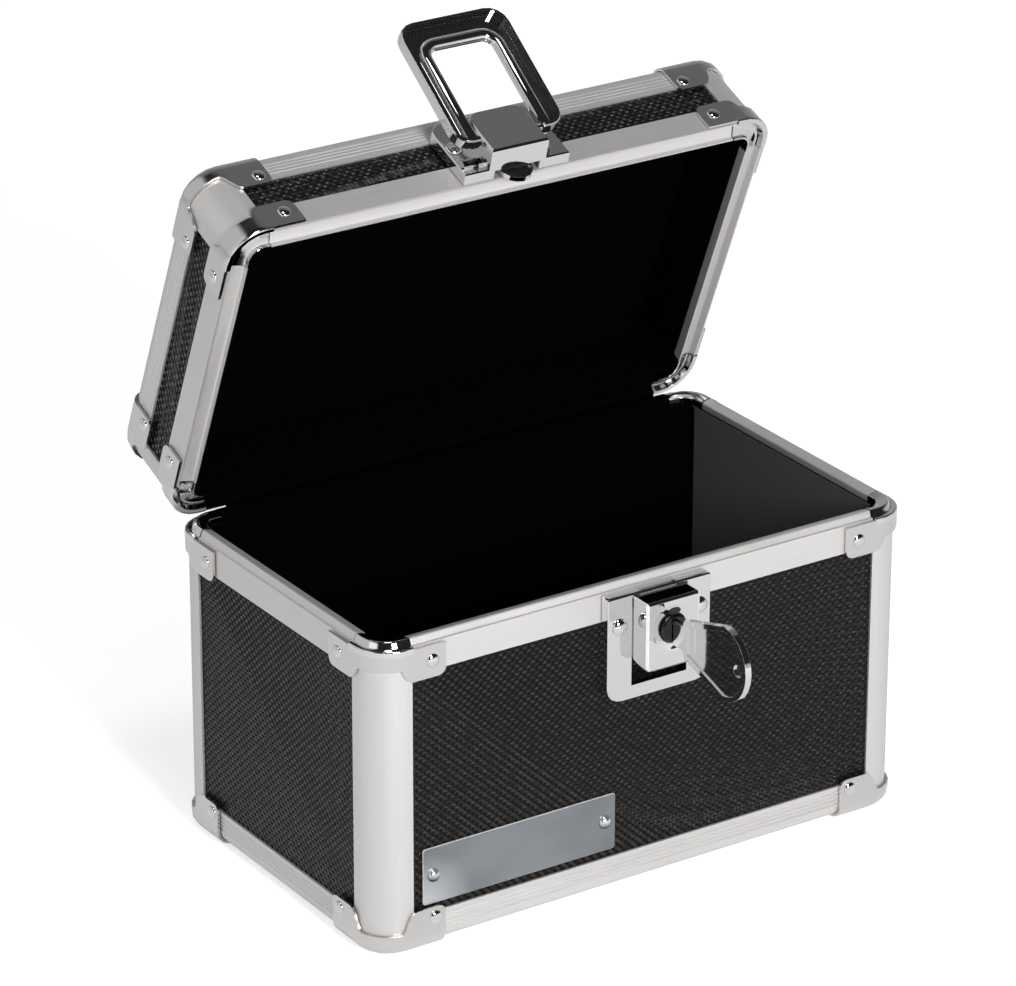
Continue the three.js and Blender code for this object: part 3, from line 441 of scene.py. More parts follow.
def box(name: str, low: Sequence[float], high: Sequence[float]) -> Piece:
    """Adds a box between its lowest and its highest corner, in millimetres."""
    a, b = Vector(low) * MM, Vector(high) * MM
    cube = primitive(bpy.ops.mesh.primitive_cube_add, name, size=1, location=(a + b) / 2)
    cube.scale = b - a
    return settle(cube)


def outline_face(name: str, points: Sequence[tuple[float, float]]) -> Piece:
    """Makes one flat face in the XZ plane from an outline.

    Args:
        name: The piece's name.
        points: The outline's (x, z) corners in millimetres, in order.

    Returns:
        A piece with that one face.
    """
    face = primitive(
        bpy.ops.mesh.primitive_circle_add, name, vertices=len(points), radius=MM, fill_type="NGON"
    )
    for index, (x, z) in zip(list(face.data.polygons[0].vertices), points):
        face.data.vertices[index].co = Vector((x, 0, z)) * MM
    return face


# Finishes


class Graph:
    """The nodes of a material or a world, with short calls to add and link them."""

    def __init__(self, owner: bpy.types.Material | bpy.types.World) -> None:
        """Opens the owner's nodes and finds its shader, where it has one."""
        owner.use_nodes = True
        self.tree = owner.node_tree
        self.shader = self.tree.nodes.get("Principled BSDF")

    def put(self, socket: Socket, value: object) -> None:
        """Links an output to a socket, or sets the socket to a value or a colour."""
        if isinstance(value, Socket):
            self.tree.links.new(value, socket)
        else:
            socket.default_value = (*value, 1) if socket.type == "RGBA" else value

    def add(self, kind: str, *feeds: object, **values: object) -> bpy.types.Node:
        """Adds a node and sets its sockets or properties.

        Args:
            kind: The node's type, without the ShaderNode prefix.
            *feeds: A link or a value for each of the first sockets, in order.
            **values: A link or a value for a socket, or a value for a property, by name.

        Returns:
            The node.
        """
        node = self.tree.nodes.new(f"ShaderNode{kind}")
        for socket, value in zip(node.inputs, feeds):
            self.put(socket, value)
        for key, value in values.items():
            socket = node.inputs.get(key.replace("_", " "))
            if socket is None:
                setattr(node, key, value)
            else:
                self.put(socket, value)
        return node

    def surface(self, **values: object) -> None:
        """Sets the shader's sockets, each by a link, a value or a colour."""
        for key, value in values.items():
            self.put(self.shader.inputs[key.replace("_", " ")], value)

    def place(self) -> Socket:
        """Gives the place on the part at rest, in metres."""
        return self.add("TexCoord").outputs["Object"]

    def noise(self, on_lid: bool, scale: float | Triple, detail: float = 3.0) -> Socket:
        """Adds noise that is fixed to the closed box.

        Args:
            on_lid: Whether the piece belongs to the open lid.
            scale: The noise's repeats per metre, one for all or one each along X, Y and Z.
            detail: How many finer layers the noise has.

        Returns:
            The noise's value.
        """
        place = self.place()
        if on_lid:
            closed = (math.radians(CaseSizes.lid_open), 0, 0)
            place = self.add("Mapping", Vector=place, Rotation=closed).outputs[0]
        steps = (scale,) * 3 if isinstance(scale, float) else scale
        place = self.add("Mapping", Vector=place, Scale=steps).outputs[0]
        return self.add("TexNoise", Vector=place, Scale=1.0, Detail=detail).outputs["Fac"]

    def mapped(
        self, value: Socket, low: float | Socket, high: float, source: Span = NOISE_MIDDLE
    ) -> Socket:
        """Maps a range of values, at first the middle of a noise, to another range."""
        limits = {"From_Min": source[0], "From_Max": source[1], "To_Min": low, "To_Max": high}
        return self.add("MapRange", Value=value, **limits).outputs[0]

    def blend(self, factor: Socket, first: Colour | Socket, second: Colour | Socket) -> Socket:
        """Mixes two colours by a factor."""
        node = self.add("Mix", factor, data_type="RGBA")
        # the mix node keeps its colours in its seventh and eighth sockets
        self.put(node.inputs[6], first)
        self.put(node.inputs[7], second)
        return node.outputs[2]

    def combine(self, operation: str, first: Socket, second: Socket) -> Socket:
        """Joins two values by one of the math node's operations."""
        return self.add("Math", first, second, operation=operation).outputs[0]

    def bump(self, height: Socket, strength: float, distance: float) -> None:
        """Raises the surface by a height pattern, in millimetres at full strength."""
        node = self.add("Bump", Height=height, Strength=strength, Distance=distance * MM)
        self.surface(Normal=node.outputs[0])


@dataclass(frozen=True)
class Finish:
    """A surface finish, and whether it is on the open lid.

    In every finish a gloss is a range of roughness, a height is a bump's strength and its
    depth in millimetres, and a pattern's own number is its repeats per metre.
    """

    on_lid: bool = False
    name: ClassVar[str] = "finish"

    @property
    def label(self) -> str:
        """The material's name."""
        return self.name + ("_lid" if self.on_lid else "")

    def material(self) -> bpy.types.Material:
        """The finish's material, made once."""
        found = bpy.data.materials.get(self.label)
        if found is None:
            found = bpy.data.materials.new(self.label)
            self.build(Graph(found))
        return found

    def build(self, graph: Graph) -> None:
        """Builds the finish's nodes."""
        raise NotImplementedError


@dataclass(frozen=True, kw_only=True)
class Grained(Finish):
    """One colour with a grain in its gloss and, where it has them, waves in its height."""

    colour: Colour
    grain: float | Triple
    gloss: Span
    metal: float = 1.0
    wave: float = 0.0
    wave_detail: float = 1.0
    wave_height: Span = (0.0, 0.0)

    def build(self, graph: Graph) -> None:
        """The waves bend the surface and the grain changes its gloss."""
        if self.wave:
            wave = graph.noise(self.on_lid, self.wave, self.wave_detail)
            graph.bump(wave, *self.wave_height)
        gloss = graph.mapped(graph.noise(self.on_lid, self.grain), *self.gloss)
        graph.surface(Base_Color=self.colour, Metallic=self.metal, Roughness=gloss)


@dataclass(frozen=True)
class PlatedSheet(Grained):
    """Nickel-plated pressed steel with a faint rolled ripple."""

    name: ClassVar[str] = "nickel_sheet"
    colour: Colour = (0.7, 0.685, 0.675)
    grain: float = 1800.0
    gloss: Span = (0.12, 0.2)
    wave: float = 90.0
    wave_height: Span = (0.2, 0.1)


@dataclass(frozen=True)
class PolishedChrome(Grained):
    """Bright chrome over a slightly wavy casting, with faint wiping marks."""

    name: ClassVar[str] = "polished_chrome"
    colour: Colour = (0.75, 0.745, 0.74)
    grain: Triple = (700.0, 2400.0, 700.0)
    gloss: Span = (0.04, 0.07)
    wave: float = 160.0
    wave_detail: float = 1.5
    wave_height: Span = (0.3, 0.05)


@dataclass(frozen=True)
class DarkNickel(Grained):
    """The black nickel plating of the lock cylinder and the hinge, with a fine grain."""

    name: ClassVar[str] = "dark_nickel"
    colour: Colour = (0.05, 0.046, 0.045)
    grain: float = 3000.0
    gloss: Span = (0.22, 0.36)
    wave: float = 3000.0
    wave_detail: float = 3.0
    wave_height: Span = (0.1, 0.01)


@dataclass(frozen=True)
class EdgeHighlightPaint(Grained):
    """A pale colour on an edge: a painted highlight, brighter than the face beside it."""

    name: ClassVar[str] = "painted_edge_highlight"
    colour: Colour = (0.9, 0.91, 0.92)
    metal: float = 0.5
    grain: float = 1500.0
    gloss: Span = (0.5, 0.7)


@dataclass(frozen=True)
class BlackPaint(Grained):
    """Matt black: the lock's index mark, which is paint, and the painted shade and shadow at its
    keyway.
    """

    name: ClassVar[str] = "black_paint"
    colour: Colour = (0.006, 0.006, 0.006)
    metal: float = 0.0
    grain: float = 1500.0
    gloss: Span = (0.45, 0.65)


@dataclass(frozen=True)
class SatinAluminium(Finish):
    """Anodised extrusion with fine drawing marks along its length."""

    grain: Grain = Grain.X
    colour: Colour = (0.75, 0.736, 0.728)
    dull: Colour = (0.715, 0.7, 0.692)
    metal: float = 0.7
    across: float = 2600.0
    along: float = 28.0
    gloss: Span = (0.42, 0.52)
    streak_height: Span = (0.08, 0.02)
    cloud: float = 60.0
    cloud_detail: float = 2.0
    cloud_gloss: Span = (-0.03, 0.03)

    @property
    def name(self) -> str:
        """The finish's name, which tells the grain."""
        return f"satin_aluminium_{self.grain.name.lower()}"

    def build(self, graph: Graph) -> None:
        """Streaks change the colour, gloss and height; a slow cloud changes the gloss."""
        scale = [self.across] * 3
        scale[self.grain.value] = self.along
        streaks = graph.noise(self.on_lid, scale)
        cloud = graph.noise(self.on_lid, self.cloud, self.cloud_detail)
        streak_gloss = graph.mapped(streaks, *self.gloss)
        cloud_gloss = graph.mapped(cloud, *self.cloud_gloss)
        graph.surface(
            Base_Color=graph.blend(graph.mapped(streaks, *WHOLE), self.dull, self.colour),
            Roughness=graph.combine("ADD", streak_gloss, cloud_gloss),
            Metallic=self.metal,
        )
        graph.bump(streaks, *self.streak_height)


@dataclass(frozen=True)
class BadgeSteel(Finish):
    """Cool grey steel of the name plate, brushed along its length, with a painted highlight at one
    corner.
    """

    name: ClassVar[str] = "badge_steel"
    colour: Colour = (0.23, 0.245, 0.26)
    light: Colour = (0.31, 0.33, 0.35)
    corner_highlight: Colour = (0.72, 0.75, 0.78)
    corner_highlight_place: Triple = (-76.5, -46.5, 13.0)
    corner_highlight_reach: float = 17.0
    metal: float = 0.9
    brushing: Triple = (60.0, 2200.0, 2200.0)
    brushing_height: Span = (0.1, 0.02)
    gloss: Span = (0.26, 0.4)
    cloud: Triple = (34.0, 34.0, 70.0)
    cloud_detail: float = 1.0

    def build(self, graph: Graph) -> None:
        """Brushing along X, over slow light and dark clouds, and a painted highlight at one
        corner.
        """
        brushing = graph.noise(self.on_lid, self.brushing)
        cloud = graph.noise(self.on_lid, self.cloud, self.cloud_detail)
        clouded = graph.blend(graph.mapped(cloud, *WHOLE), self.colour, self.light)
        # a paler colour near one corner, fading out over a reach, is a painted highlight
        corner = Vector(self.corner_highlight_place) * MM
        far = graph.add("VectorMath", graph.place(), corner, operation="DISTANCE")
        near = graph.mapped(far.outputs["Value"], 1.0, 0.0, (0.0, self.corner_highlight_reach * MM))
        graph.surface(
            Base_Color=graph.blend(near, clouded, self.corner_highlight),
            Roughness=graph.mapped(brushing, *self.gloss),
            Metallic=self.metal,
        )
        graph.bump(brushing, *self.brushing_height)


@dataclass(frozen=True)
class BadgeRivet(Finish):
    """Rivets of the name plate, painted bright on top as a highlight and dark below as shade."""

    name: ClassVar[str] = "badge_rivet"
    dark: Colour = (0.015, 0.016, 0.018)
    bright: Colour = (0.85, 0.87, 0.89)
    dark_height: float = 21.6
    bright_height: float = 23.7
    metal: float = 0.9
    grain: float = 1800.0
    gloss: Span = (0.18, 0.28)

    def build(self, graph: Graph) -> None:
        """The painted shade below fades upwards into the painted highlight on top."""
        height = graph.add("SeparateXYZ", graph.place()).outputs["Z"]
        fade = (self.dark_height * MM, self.bright_height * MM)
        # colour by height: bright on top as a painted highlight, dark below as painted shade
        painted_light_fade = graph.mapped(height, *WHOLE, fade)
        graph.surface(
            Base_Color=graph.blend(painted_light_fade, self.dark, self.bright),
            Roughness=graph.mapped(graph.noise(self.on_lid, self.grain), *self.gloss),
            Metallic=self.metal,
        )


@dataclass(frozen=True)
class EmbossedLaminate(Finish):
    """Black vinyl laminate: glossy studs, and dull leathery valleys between them, with painted
    shade in the valleys and a painted glint on the stud tips.
    """

    name: ClassVar[str] = "embossed_laminate"
    valley: Colour = (0.0028, 0.0024, 0.0022)
    stud: Colour = (0.0105, 0.0088, 0.0082)
    tip: Colour = (0.028, 0.026, 0.025)
    painted_lid_tip_glint: Colour = (0.15, 0.142, 0.138)
    tip_relief: Span = (0.8, 1.0)
    gloss: Span = (0.55, 0.16)
    skin: float = 2400.0
    skin_detail: float = 4.0
    skin_gloss: Span = (0.0, 0.07)
    skin_height: Span = (0.25, 0.04)
    glint_scatter: float = 420.0
    glint_scatter_detail: float = 1.0
    glint_scatter_middle: Span = (0.4, 0.62)
    glint_scatter_range: Span = (0.1, 1.0)
    sheen: Span = (0.02, 0.22)
    sheen_relief: Span = (0.25, 1.0)
    glint_sheen: Span = (0.0, 0.5)

    def build(self, graph: Graph) -> None:
        """Colour and gloss follow the stored relief; the colour has painted shade in the valleys
        and a painted glint on the stud tips.
        """
        skin = graph.noise(self.on_lid, self.skin, self.skin_detail)
        glint_scatter = graph.noise(self.on_lid, self.glint_scatter, self.glint_scatter_detail)
        relief = graph.add("Attribute", attribute_name=RELIEF).outputs["Fac"]
        # a paler colour on the stud tips, scattered from stud to stud, is a painted glint; on the
        # lid it is paler still, as painted light from above; the glint raises the gloss as well
        top = graph.mapped(relief, *WHOLE, self.tip_relief)
        scattered_glint = graph.mapped(glint_scatter, *self.glint_scatter_range, self.glint_scatter_middle)
        glint = graph.combine("MULTIPLY", top, scattered_glint)
        # the colour is darker down in the valleys, as painted shade between the studs
        body = graph.blend(relief, self.valley, self.stud)
        dull = graph.mapped(relief, *self.gloss, WHOLE)
        sheen = graph.mapped(relief, *self.sheen, self.sheen_relief)
        bright = graph.mapped(glint, *self.glint_sheen, WHOLE)
        graph.surface(
            Base_Color=graph.blend(glint, body, self.painted_lid_tip_glint if self.on_lid else self.tip),
            Roughness=graph.combine("ADD", dull, graph.mapped(skin, *self.skin_gloss)),
            Specular_IOR_Level=graph.combine("ADD", sheen, bright),
        )
        graph.bump(skin, *self.skin_height)


@dataclass(frozen=True)
class Flock(Finish):
    """Black flocked felt."""

    name: ClassVar[str] = "black_flock"
    colour: Colour = (0.0012, 0.0011, 0.0011)
    tuft: Colour = (0.0022, 0.002, 0.002)
    tufts: float = 3200.0
    tuft_detail: float = 5.0
    tuft_height: Span = (0.8, 0.2)

    def build(self, graph: Graph) -> None:
        """Tufts in colour and height."""
        tufts = graph.noise(self.on_lid, self.tufts, self.tuft_detail)
        colour = graph.blend(graph.mapped(tufts, *WHOLE), self.colour, self.tuft)
        graph.surface(Base_Color=colour, Roughness=1.0, Specular_IOR_Level=0.0)
        graph.bump(tufts, *self.tuft_height)


@dataclass(frozen=True)
class LitFlock(Flock):
    """The same felt in a paler colour, painted light on the inner wall that the lamps would light.
    """

    name: ClassVar[str] = "black_flock_lit"
    colour: Colour = (0.1, 0.0988, 0.0988)
    tuft: Colour = (0.12, 0.1186, 0.1186)


def dress(piece: Piece, finish: Finish) -> None:
    """Gives the whole of a piece one finish."""
    piece.data.materials.clear()
    piece.data.materials.append(finish.material())


def accent(
    piece: Piece, finish: Finish, chosen: Callable[[bpy.types.MeshPolygon], bool]
) -> None:
    """Gives a second finish to the faces of a dressed piece that pass a test."""
    piece.data.materials.append(finish.material())
    for face in piece.data.polygons:
        if chosen(face):
            face.material_index = 1


def kept(
    piece: Piece,
    body: str,
    finish: Finish,
    replaces: Sequence[str] = (),
) -> Piece:
    """Dresses a finished piece and hangs it on its body.

    Args:
        piece: The settled piece.
        body: The CAD body that it moves with.
        finish: Its finish.
        replaces: The CAD nodes that it stands for.

    Returns:
        The same piece.
    """
    dress(piece, finish)
    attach(piece, body)
    if replaces:
        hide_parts(*replaces)
    LOG.info("%s: %d faces, on %s", piece.name, len(piece.data.polygons), body)
    return piece


# Sub-assemblies


@dataclass
class Assembly:
    """A sub-assembly, with the frame that it dresses and the sizes of the case."""

    frame: dict
    sizes: CaseSizes
    weld: ClassVar[float] = 0.002
    flat_angle: ClassVar[float] = 0.4

    def build(self) -> None:
        """Models and dresses the pieces."""
        raise NotImplementedError

    def nodes(self, *endings: str) -> list[str]:
        """The CAD nodes whose names have one of the endings, in order."""
        return [node for node in sorted(self.frame["nodes"]) if node.endswith(endings)]

    def copied(self, node: str, ending: str) -> Piece:
        """Copies a CAD node's mesh as one clean surface.

        Args:
            node: The CAD node.
            ending: What the copy's name adds to the node's.

        Returns:
            The copy, with its triangles merged into flat faces.
        """
        name = f"{node}_{ending}"
        mesh = self.frame["nodes"][node].data.copy()
        mesh.name = name
        piece = bpy.data.objects.new(name, mesh)
        bpy.context.collection.objects.link(piece)
        with editing(piece, "VERT"):
            bpy.ops.mesh.remove_doubles(threshold=self.weld * MM)
            bpy.ops.mesh.dissolve_limited(angle_limit=math.radians(self.flat_angle))
        if piece.data.has_custom_normals:
            activate(piece)
            bpy.ops.mesh.customdata_custom_splitnormals_clear()
        return piece

    def refined(self, node: str, ending: str, edge: float) -> Piece:
        """Copies a CAD node and softens its edges."""
        return softened(self.copied(node, ending), edge)


@dataclass
class Extrusions(Assembly):
    """The aluminium rails and posts of both halves."""

    edge: float = 0.16

    def build(self) -> None:
        """Refines each extrusion and gives it marks along its length."""
        for node in self.nodes("_rail", "_post"):
            half = Half.of(node)
            piece = self.refined(node, "drawn", self.edge)
            finish = SatinAluminium(half.is_lid, self.grain_of(node))
            kept(piece, half.value, finish, [node])

    def grain_of(self, node: str) -> Grain:
        """The way that an extrusion runs, from its name."""
        if node.endswith("_post"):
            return Grain.Z
        return Grain.X if "_front_" in node or "_rear_" in node else Grain.Y


@dataclass
class Panels(Assembly):
    """The boards, and the embossed laminate on their outer faces."""

    pitch: float = 2.7
    row: float = 2.5
    cells: int = 6
    stud: tuple[float, float] = (1.28, 0.82)
    relief: float = 0.36
    film: float = 0.1
    tuck: float = 0.8

    def build(self) -> None:
        """Dresses the boards and lays a sheet of laminate on each."""
        s = self.sizes
        for node in self.nodes("_panel"):
            dress(self.frame["nodes"][node], EmbossedLaminate(Half.of(node).is_lid))
        tile = self.tile()
        for half in Half:
            tall = s.height(half) - s.rail_leg - s.rim_leg
            middle = s.rail_leg + tall / 2
            for side in Side:
                long_wall = side in (Side.FRONT, Side.REAR)
                across = (s.width if long_wall else s.depth) - 2 * s.post_leg
                reach = (s.depth if long_wall else s.width) / 2
                place = turn(side.value) @ shift(0, s.board_face - reach, middle)
                self.sheet(tile, half, self.place_name(half, side), (across, tall), place)
            flat = (s.width - 2 * s.rail_leg, s.depth - 2 * s.rail_leg)
            under = shift(0, 0, s.board_face) @ turn(90, "X")
            self.sheet(tile, half, "top" if half.is_lid else "bottom", flat, under)
        discard(tile)

    def place_name(self, half: Half, side: Side) -> str:
        """A side's name; the lid is drawn turned over, so its front and rear change places."""
        swap = {Side.FRONT: Side.REAR, Side.REAR: Side.FRONT}
        return (swap.get(side, side) if half.is_lid else side).name.lower()

    def tile(self) -> Piece:
        """Models one repeat of the pattern, facing -Y: a stud in the middle and at each corner.

        Returns:
            The tile, to be copied into the sheets and then discarded.
        """
        tile = primitive(
            bpy.ops.mesh.primitive_grid_add, "laminate_tile",
            x_subdivisions=self.cells, y_subdivisions=self.cells, size=1,
        )
        tile.scale = Vector((self.pitch, self.row, 1)) * MM
        tile.rotation_euler = (math.pi / 2, 0, 0)
        settle(tile)
        for rise in {self.rise(vertex.co) for vertex in tile.data.vertices} - {0.0}:
            with editing(tile, "VERT", lambda place, rise=rise: self.rise(place) == rise):
                bpy.ops.transform.translate(value=(0, -rise * MM, 0))
        relief = tile.data.attributes.new(RELIEF, "FLOAT", "POINT")
        for vertex, value in zip(tile.data.vertices, relief.data):
            value.value = -vertex.co.y / (self.relief * MM)
        return tile

    def rise(self, place: Vector) -> float:
        """Height of the pattern at a place in the tile, in millimetres to four places."""
        x, z = abs(place.x) / MM, abs(place.z) / MM
        wide, tall = self.stud
        nearest = min(
            math.hypot(x / wide, z / tall),
            math.hypot((x - self.pitch / 2) / wide, (z - self.row / 2) / tall),
        )
        return round(self.relief * math.sqrt(max(0.0, 1 - nearest**2)), 4)

    def sheet(
        self, tile: Piece, half: Half, name: str, visible: tuple[float, float], place: Matrix
    ) -> None:
        """Models one sheet of laminate, facing -Y, as an array of tiles cut to its size.

        Args:
            tile: One repeat of the pattern.
            half: The half that it belongs to.
            name: The side that it covers.
            visible: Its visible width and height.
            place: Where it goes in the drawing of the half.
        """
        piece = stamped(tile, f"{half.value}_{name}_laminate", Matrix.Identity(4))
        corner = [0.0, 0.0, 0.0]
        for axis, length, step in ((0, visible[0], self.pitch), (2, visible[1], self.row)):
            count = 1 + 2 * math.ceil((length / 2 + self.tuck - step / 2) / step)
            offset = [0.0, 0.0, 0.0]
            offset[axis] = step * MM
            with_modifier(
                piece, "ARRAY", count=count, use_relative_offset=False,
                use_constant_offset=True, constant_offset_displace=offset,
                use_merge_vertices=True, merge_threshold=NEAR * MM,
            )
            corner[axis] = -step * (count - 1) / 2
        moved(piece, shift(*corner))
        with editing(piece):
            for sign in (-1, 1):
                for axis, length in zip((0, 2), visible):
                    outward = [0, 0, 0]
                    outward[axis] = sign
                    edge = Vector(outward) * (length / 2 + self.tuck) * MM
                    bpy.ops.mesh.select_all(action="SELECT")
                    bpy.ops.mesh.bisect(plane_co=edge, plane_no=outward, clear_outer=True)
            bpy.ops.mesh.select_all(action="SELECT")
            extrude(0, self.film, 0)
            bpy.ops.mesh.dissolve_faces()
            face_outwards()
        moved(smooth(piece, ROLL_SHARP), self.sizes.half_matrix(half) @ place)
        kept(piece, half.value, EmbossedLaminate(half.is_lid))


@dataclass
class Linings(Assembly):
    """The felt trays that line the two halves, and the felt over their rear rims."""

    felt: float = 0.8
    base_gap: float = 0.7
    lid_gap: float = 3.35
    upright_segments: int = 6
    floor_round: float = 1.6
    floor_segments: int = 4
    lip_round: float = 0.25
    lit_reach: float = 0.05
    strip_reach: float = 12.3
    base_strip: Pairs = (
        (-0.1, 0.1), (0.9, 0.1), (1.45, 1.57), (1.83, 1.95), (2.56, 1.95), (5.05, 1.15),
        (5.42, 0.78), (5.42, -2.2), (5.2, -2.2), (5.2, 0.55), (2.5, 1.7), (1.95, 1.7),
        (1.0, -0.15), (0.05, -0.15), (0.05, -1.0), (-0.1, -1.0),
    )
    lid_strip: Pairs = (
        (-0.1, -0.2), (0.7, -0.2), (1.33, -1.74), (1.8, -2.05), (2.62, -2.05), (5.25, -1.26),
        (5.64, -0.94), (5.64, 0.1), (6.46, 0.1), (6.46, -3.0), (6.2, -3.0), (6.2, -0.15),
        (5.9, -0.15), (5.9, -1.2), (2.6, -2.3), (1.8, -2.3), (0.6, -0.45), (0.05, -0.45),
        (0.05, -1.2), (-0.1, -1.2),
    )
    flap: Pairs = (
        (0.04, -0.5), (-0.08, -0.2), (-1.42, 0.5), (-1.5, 0.38), (-0.22, -0.4), (-0.13, -1.1),
        (0.04, -1.1),
    )
    flap_end: float = 19.0

    def build(self) -> None:
        """Models a tray in each half, in place of the CAD lining, and the strips on the rims."""
        for half in Half:
            self.add_tray(half)
            section = self.lid_strip if half.is_lid else self.base_strip
            self.add_strip(half, "rear_felt", section, self.strip_reach)
        self.add_strip(Half.LID, "hinge_flap", self.flap, self.flap_end)

    def add_tray(self, half: Half) -> None:
        """Models the tray of a half, with rounded corners and a rounded floor edge."""
        s = self.sizes
        inset = s.wall + s.fit
        top = s.height(half) - (self.lid_gap if half.is_lid else self.base_gap)
        x, y = s.width / 2 - inset, s.depth / 2 - inset
        tray = box(f"{half.value}_felt", (-x, -y, inset), (x, y, top))
        upright = s.corner_round - inset
        round_edges(tray, lambda run: abs(run.z) > MM, upright, self.upright_segments)
        with editing(tray, chosen=lambda place: place.z > (top - NEAR) * MM):
            bpy.ops.mesh.inset(thickness=self.felt * MM)
            extrude(0, 0, inset + self.felt - top)
            bpy.ops.mesh.bevel(offset=self.floor_round * MM, segments=self.floor_segments)
        moved(softened(tray, self.lip_round, angle=DOME_SHARP), s.half_matrix(half))
        kept(tray, half.value, Flock(half.is_lid), [f"{half.value}_lining"])
        if half is Half.BASE:
            wall = (x - self.felt) * MM
            # the right inner wall gets the paler felt as painted light
            accent(
                tray, LitFlock(),
                lambda face: abs(face.center.x - wall) < self.lit_reach * MM
                and face.normal.x < -FACING,
            )

    def add_strip(
        self, half: Half, name: str, section: Sequence[tuple[float, float]], end: float
    ) -> None:
        """Runs a felt strip along the rear rim.

        Args:
            half: The half whose rear rim is covered.
            name: The strip's name, after the half's.
            section: Its outline, inwards from the rear face and up from the rim.
            end: How far from the left side it ends.
        """
        s = self.sizes
        strip = outline_face(f"{half.value}_{name}", section)
        with editing(strip):
            extrude(0, s.width - self.strip_reach - end, 0)
            face_outwards()
        rear = -1 if half.is_lid else 1
        place = (
            s.half_matrix(half)
            @ shift(0, rear * s.depth / 2, s.height(half))
            @ turn(-90 * rear)
            @ shift(0, self.strip_reach - s.width / 2, 0)
        )
        kept(moved(shaded(strip), place), half.value, Flock(half.is_lid))


@dataclass(frozen=True)
class Rivets:
    """Domed rivet heads of one size, in millimetres."""

    radius: float
    rise: float
    sunk: float = 0.3
    segments: int = 28
    rings: int = 16

    def template(self) -> Piece:
        """Models a head whose seat is the plane y = 0, with its dome towards -Y.

        Returns:
            The head, to be stamped and then discarded.
        """
        dome = primitive(
            bpy.ops.mesh.primitive_uv_sphere_add, "rivet_head",
            segments=self.segments, ring_count=self.rings, radius=1,
        )
        dome.rotation_euler = (math.pi / 2, 0, 0)
        settle(dome)
        with editing(dome):
            bpy.ops.mesh.bisect(
                plane_co=(0, 0, 0), plane_no=(0, 1, 0), clear_outer=True, use_fill=True
            )
        dome.scale = (self.radius * MM, self.rise * MM, self.radius * MM)
        settle(dome)
        with editing(dome, chosen=lambda place: place.y > -NEAR * MM):
            extrude(0, self.sunk, 0)
        return smooth(dome, DOME_SHARP)

    def rows(self, name: str, places: Sequence[Matrix]) -> Piece:
        """Stamps a head at each place and joins them.

        Args:
            name: The joined piece's name.
            places: Where the heads go.

        Returns:
            The joined heads.
        """
        head = self.template()
        heads = [stamped(head, f"{name}_{i}", place) for i, place in enumerate(places)]
        discard(head)
        return joined(heads, name)


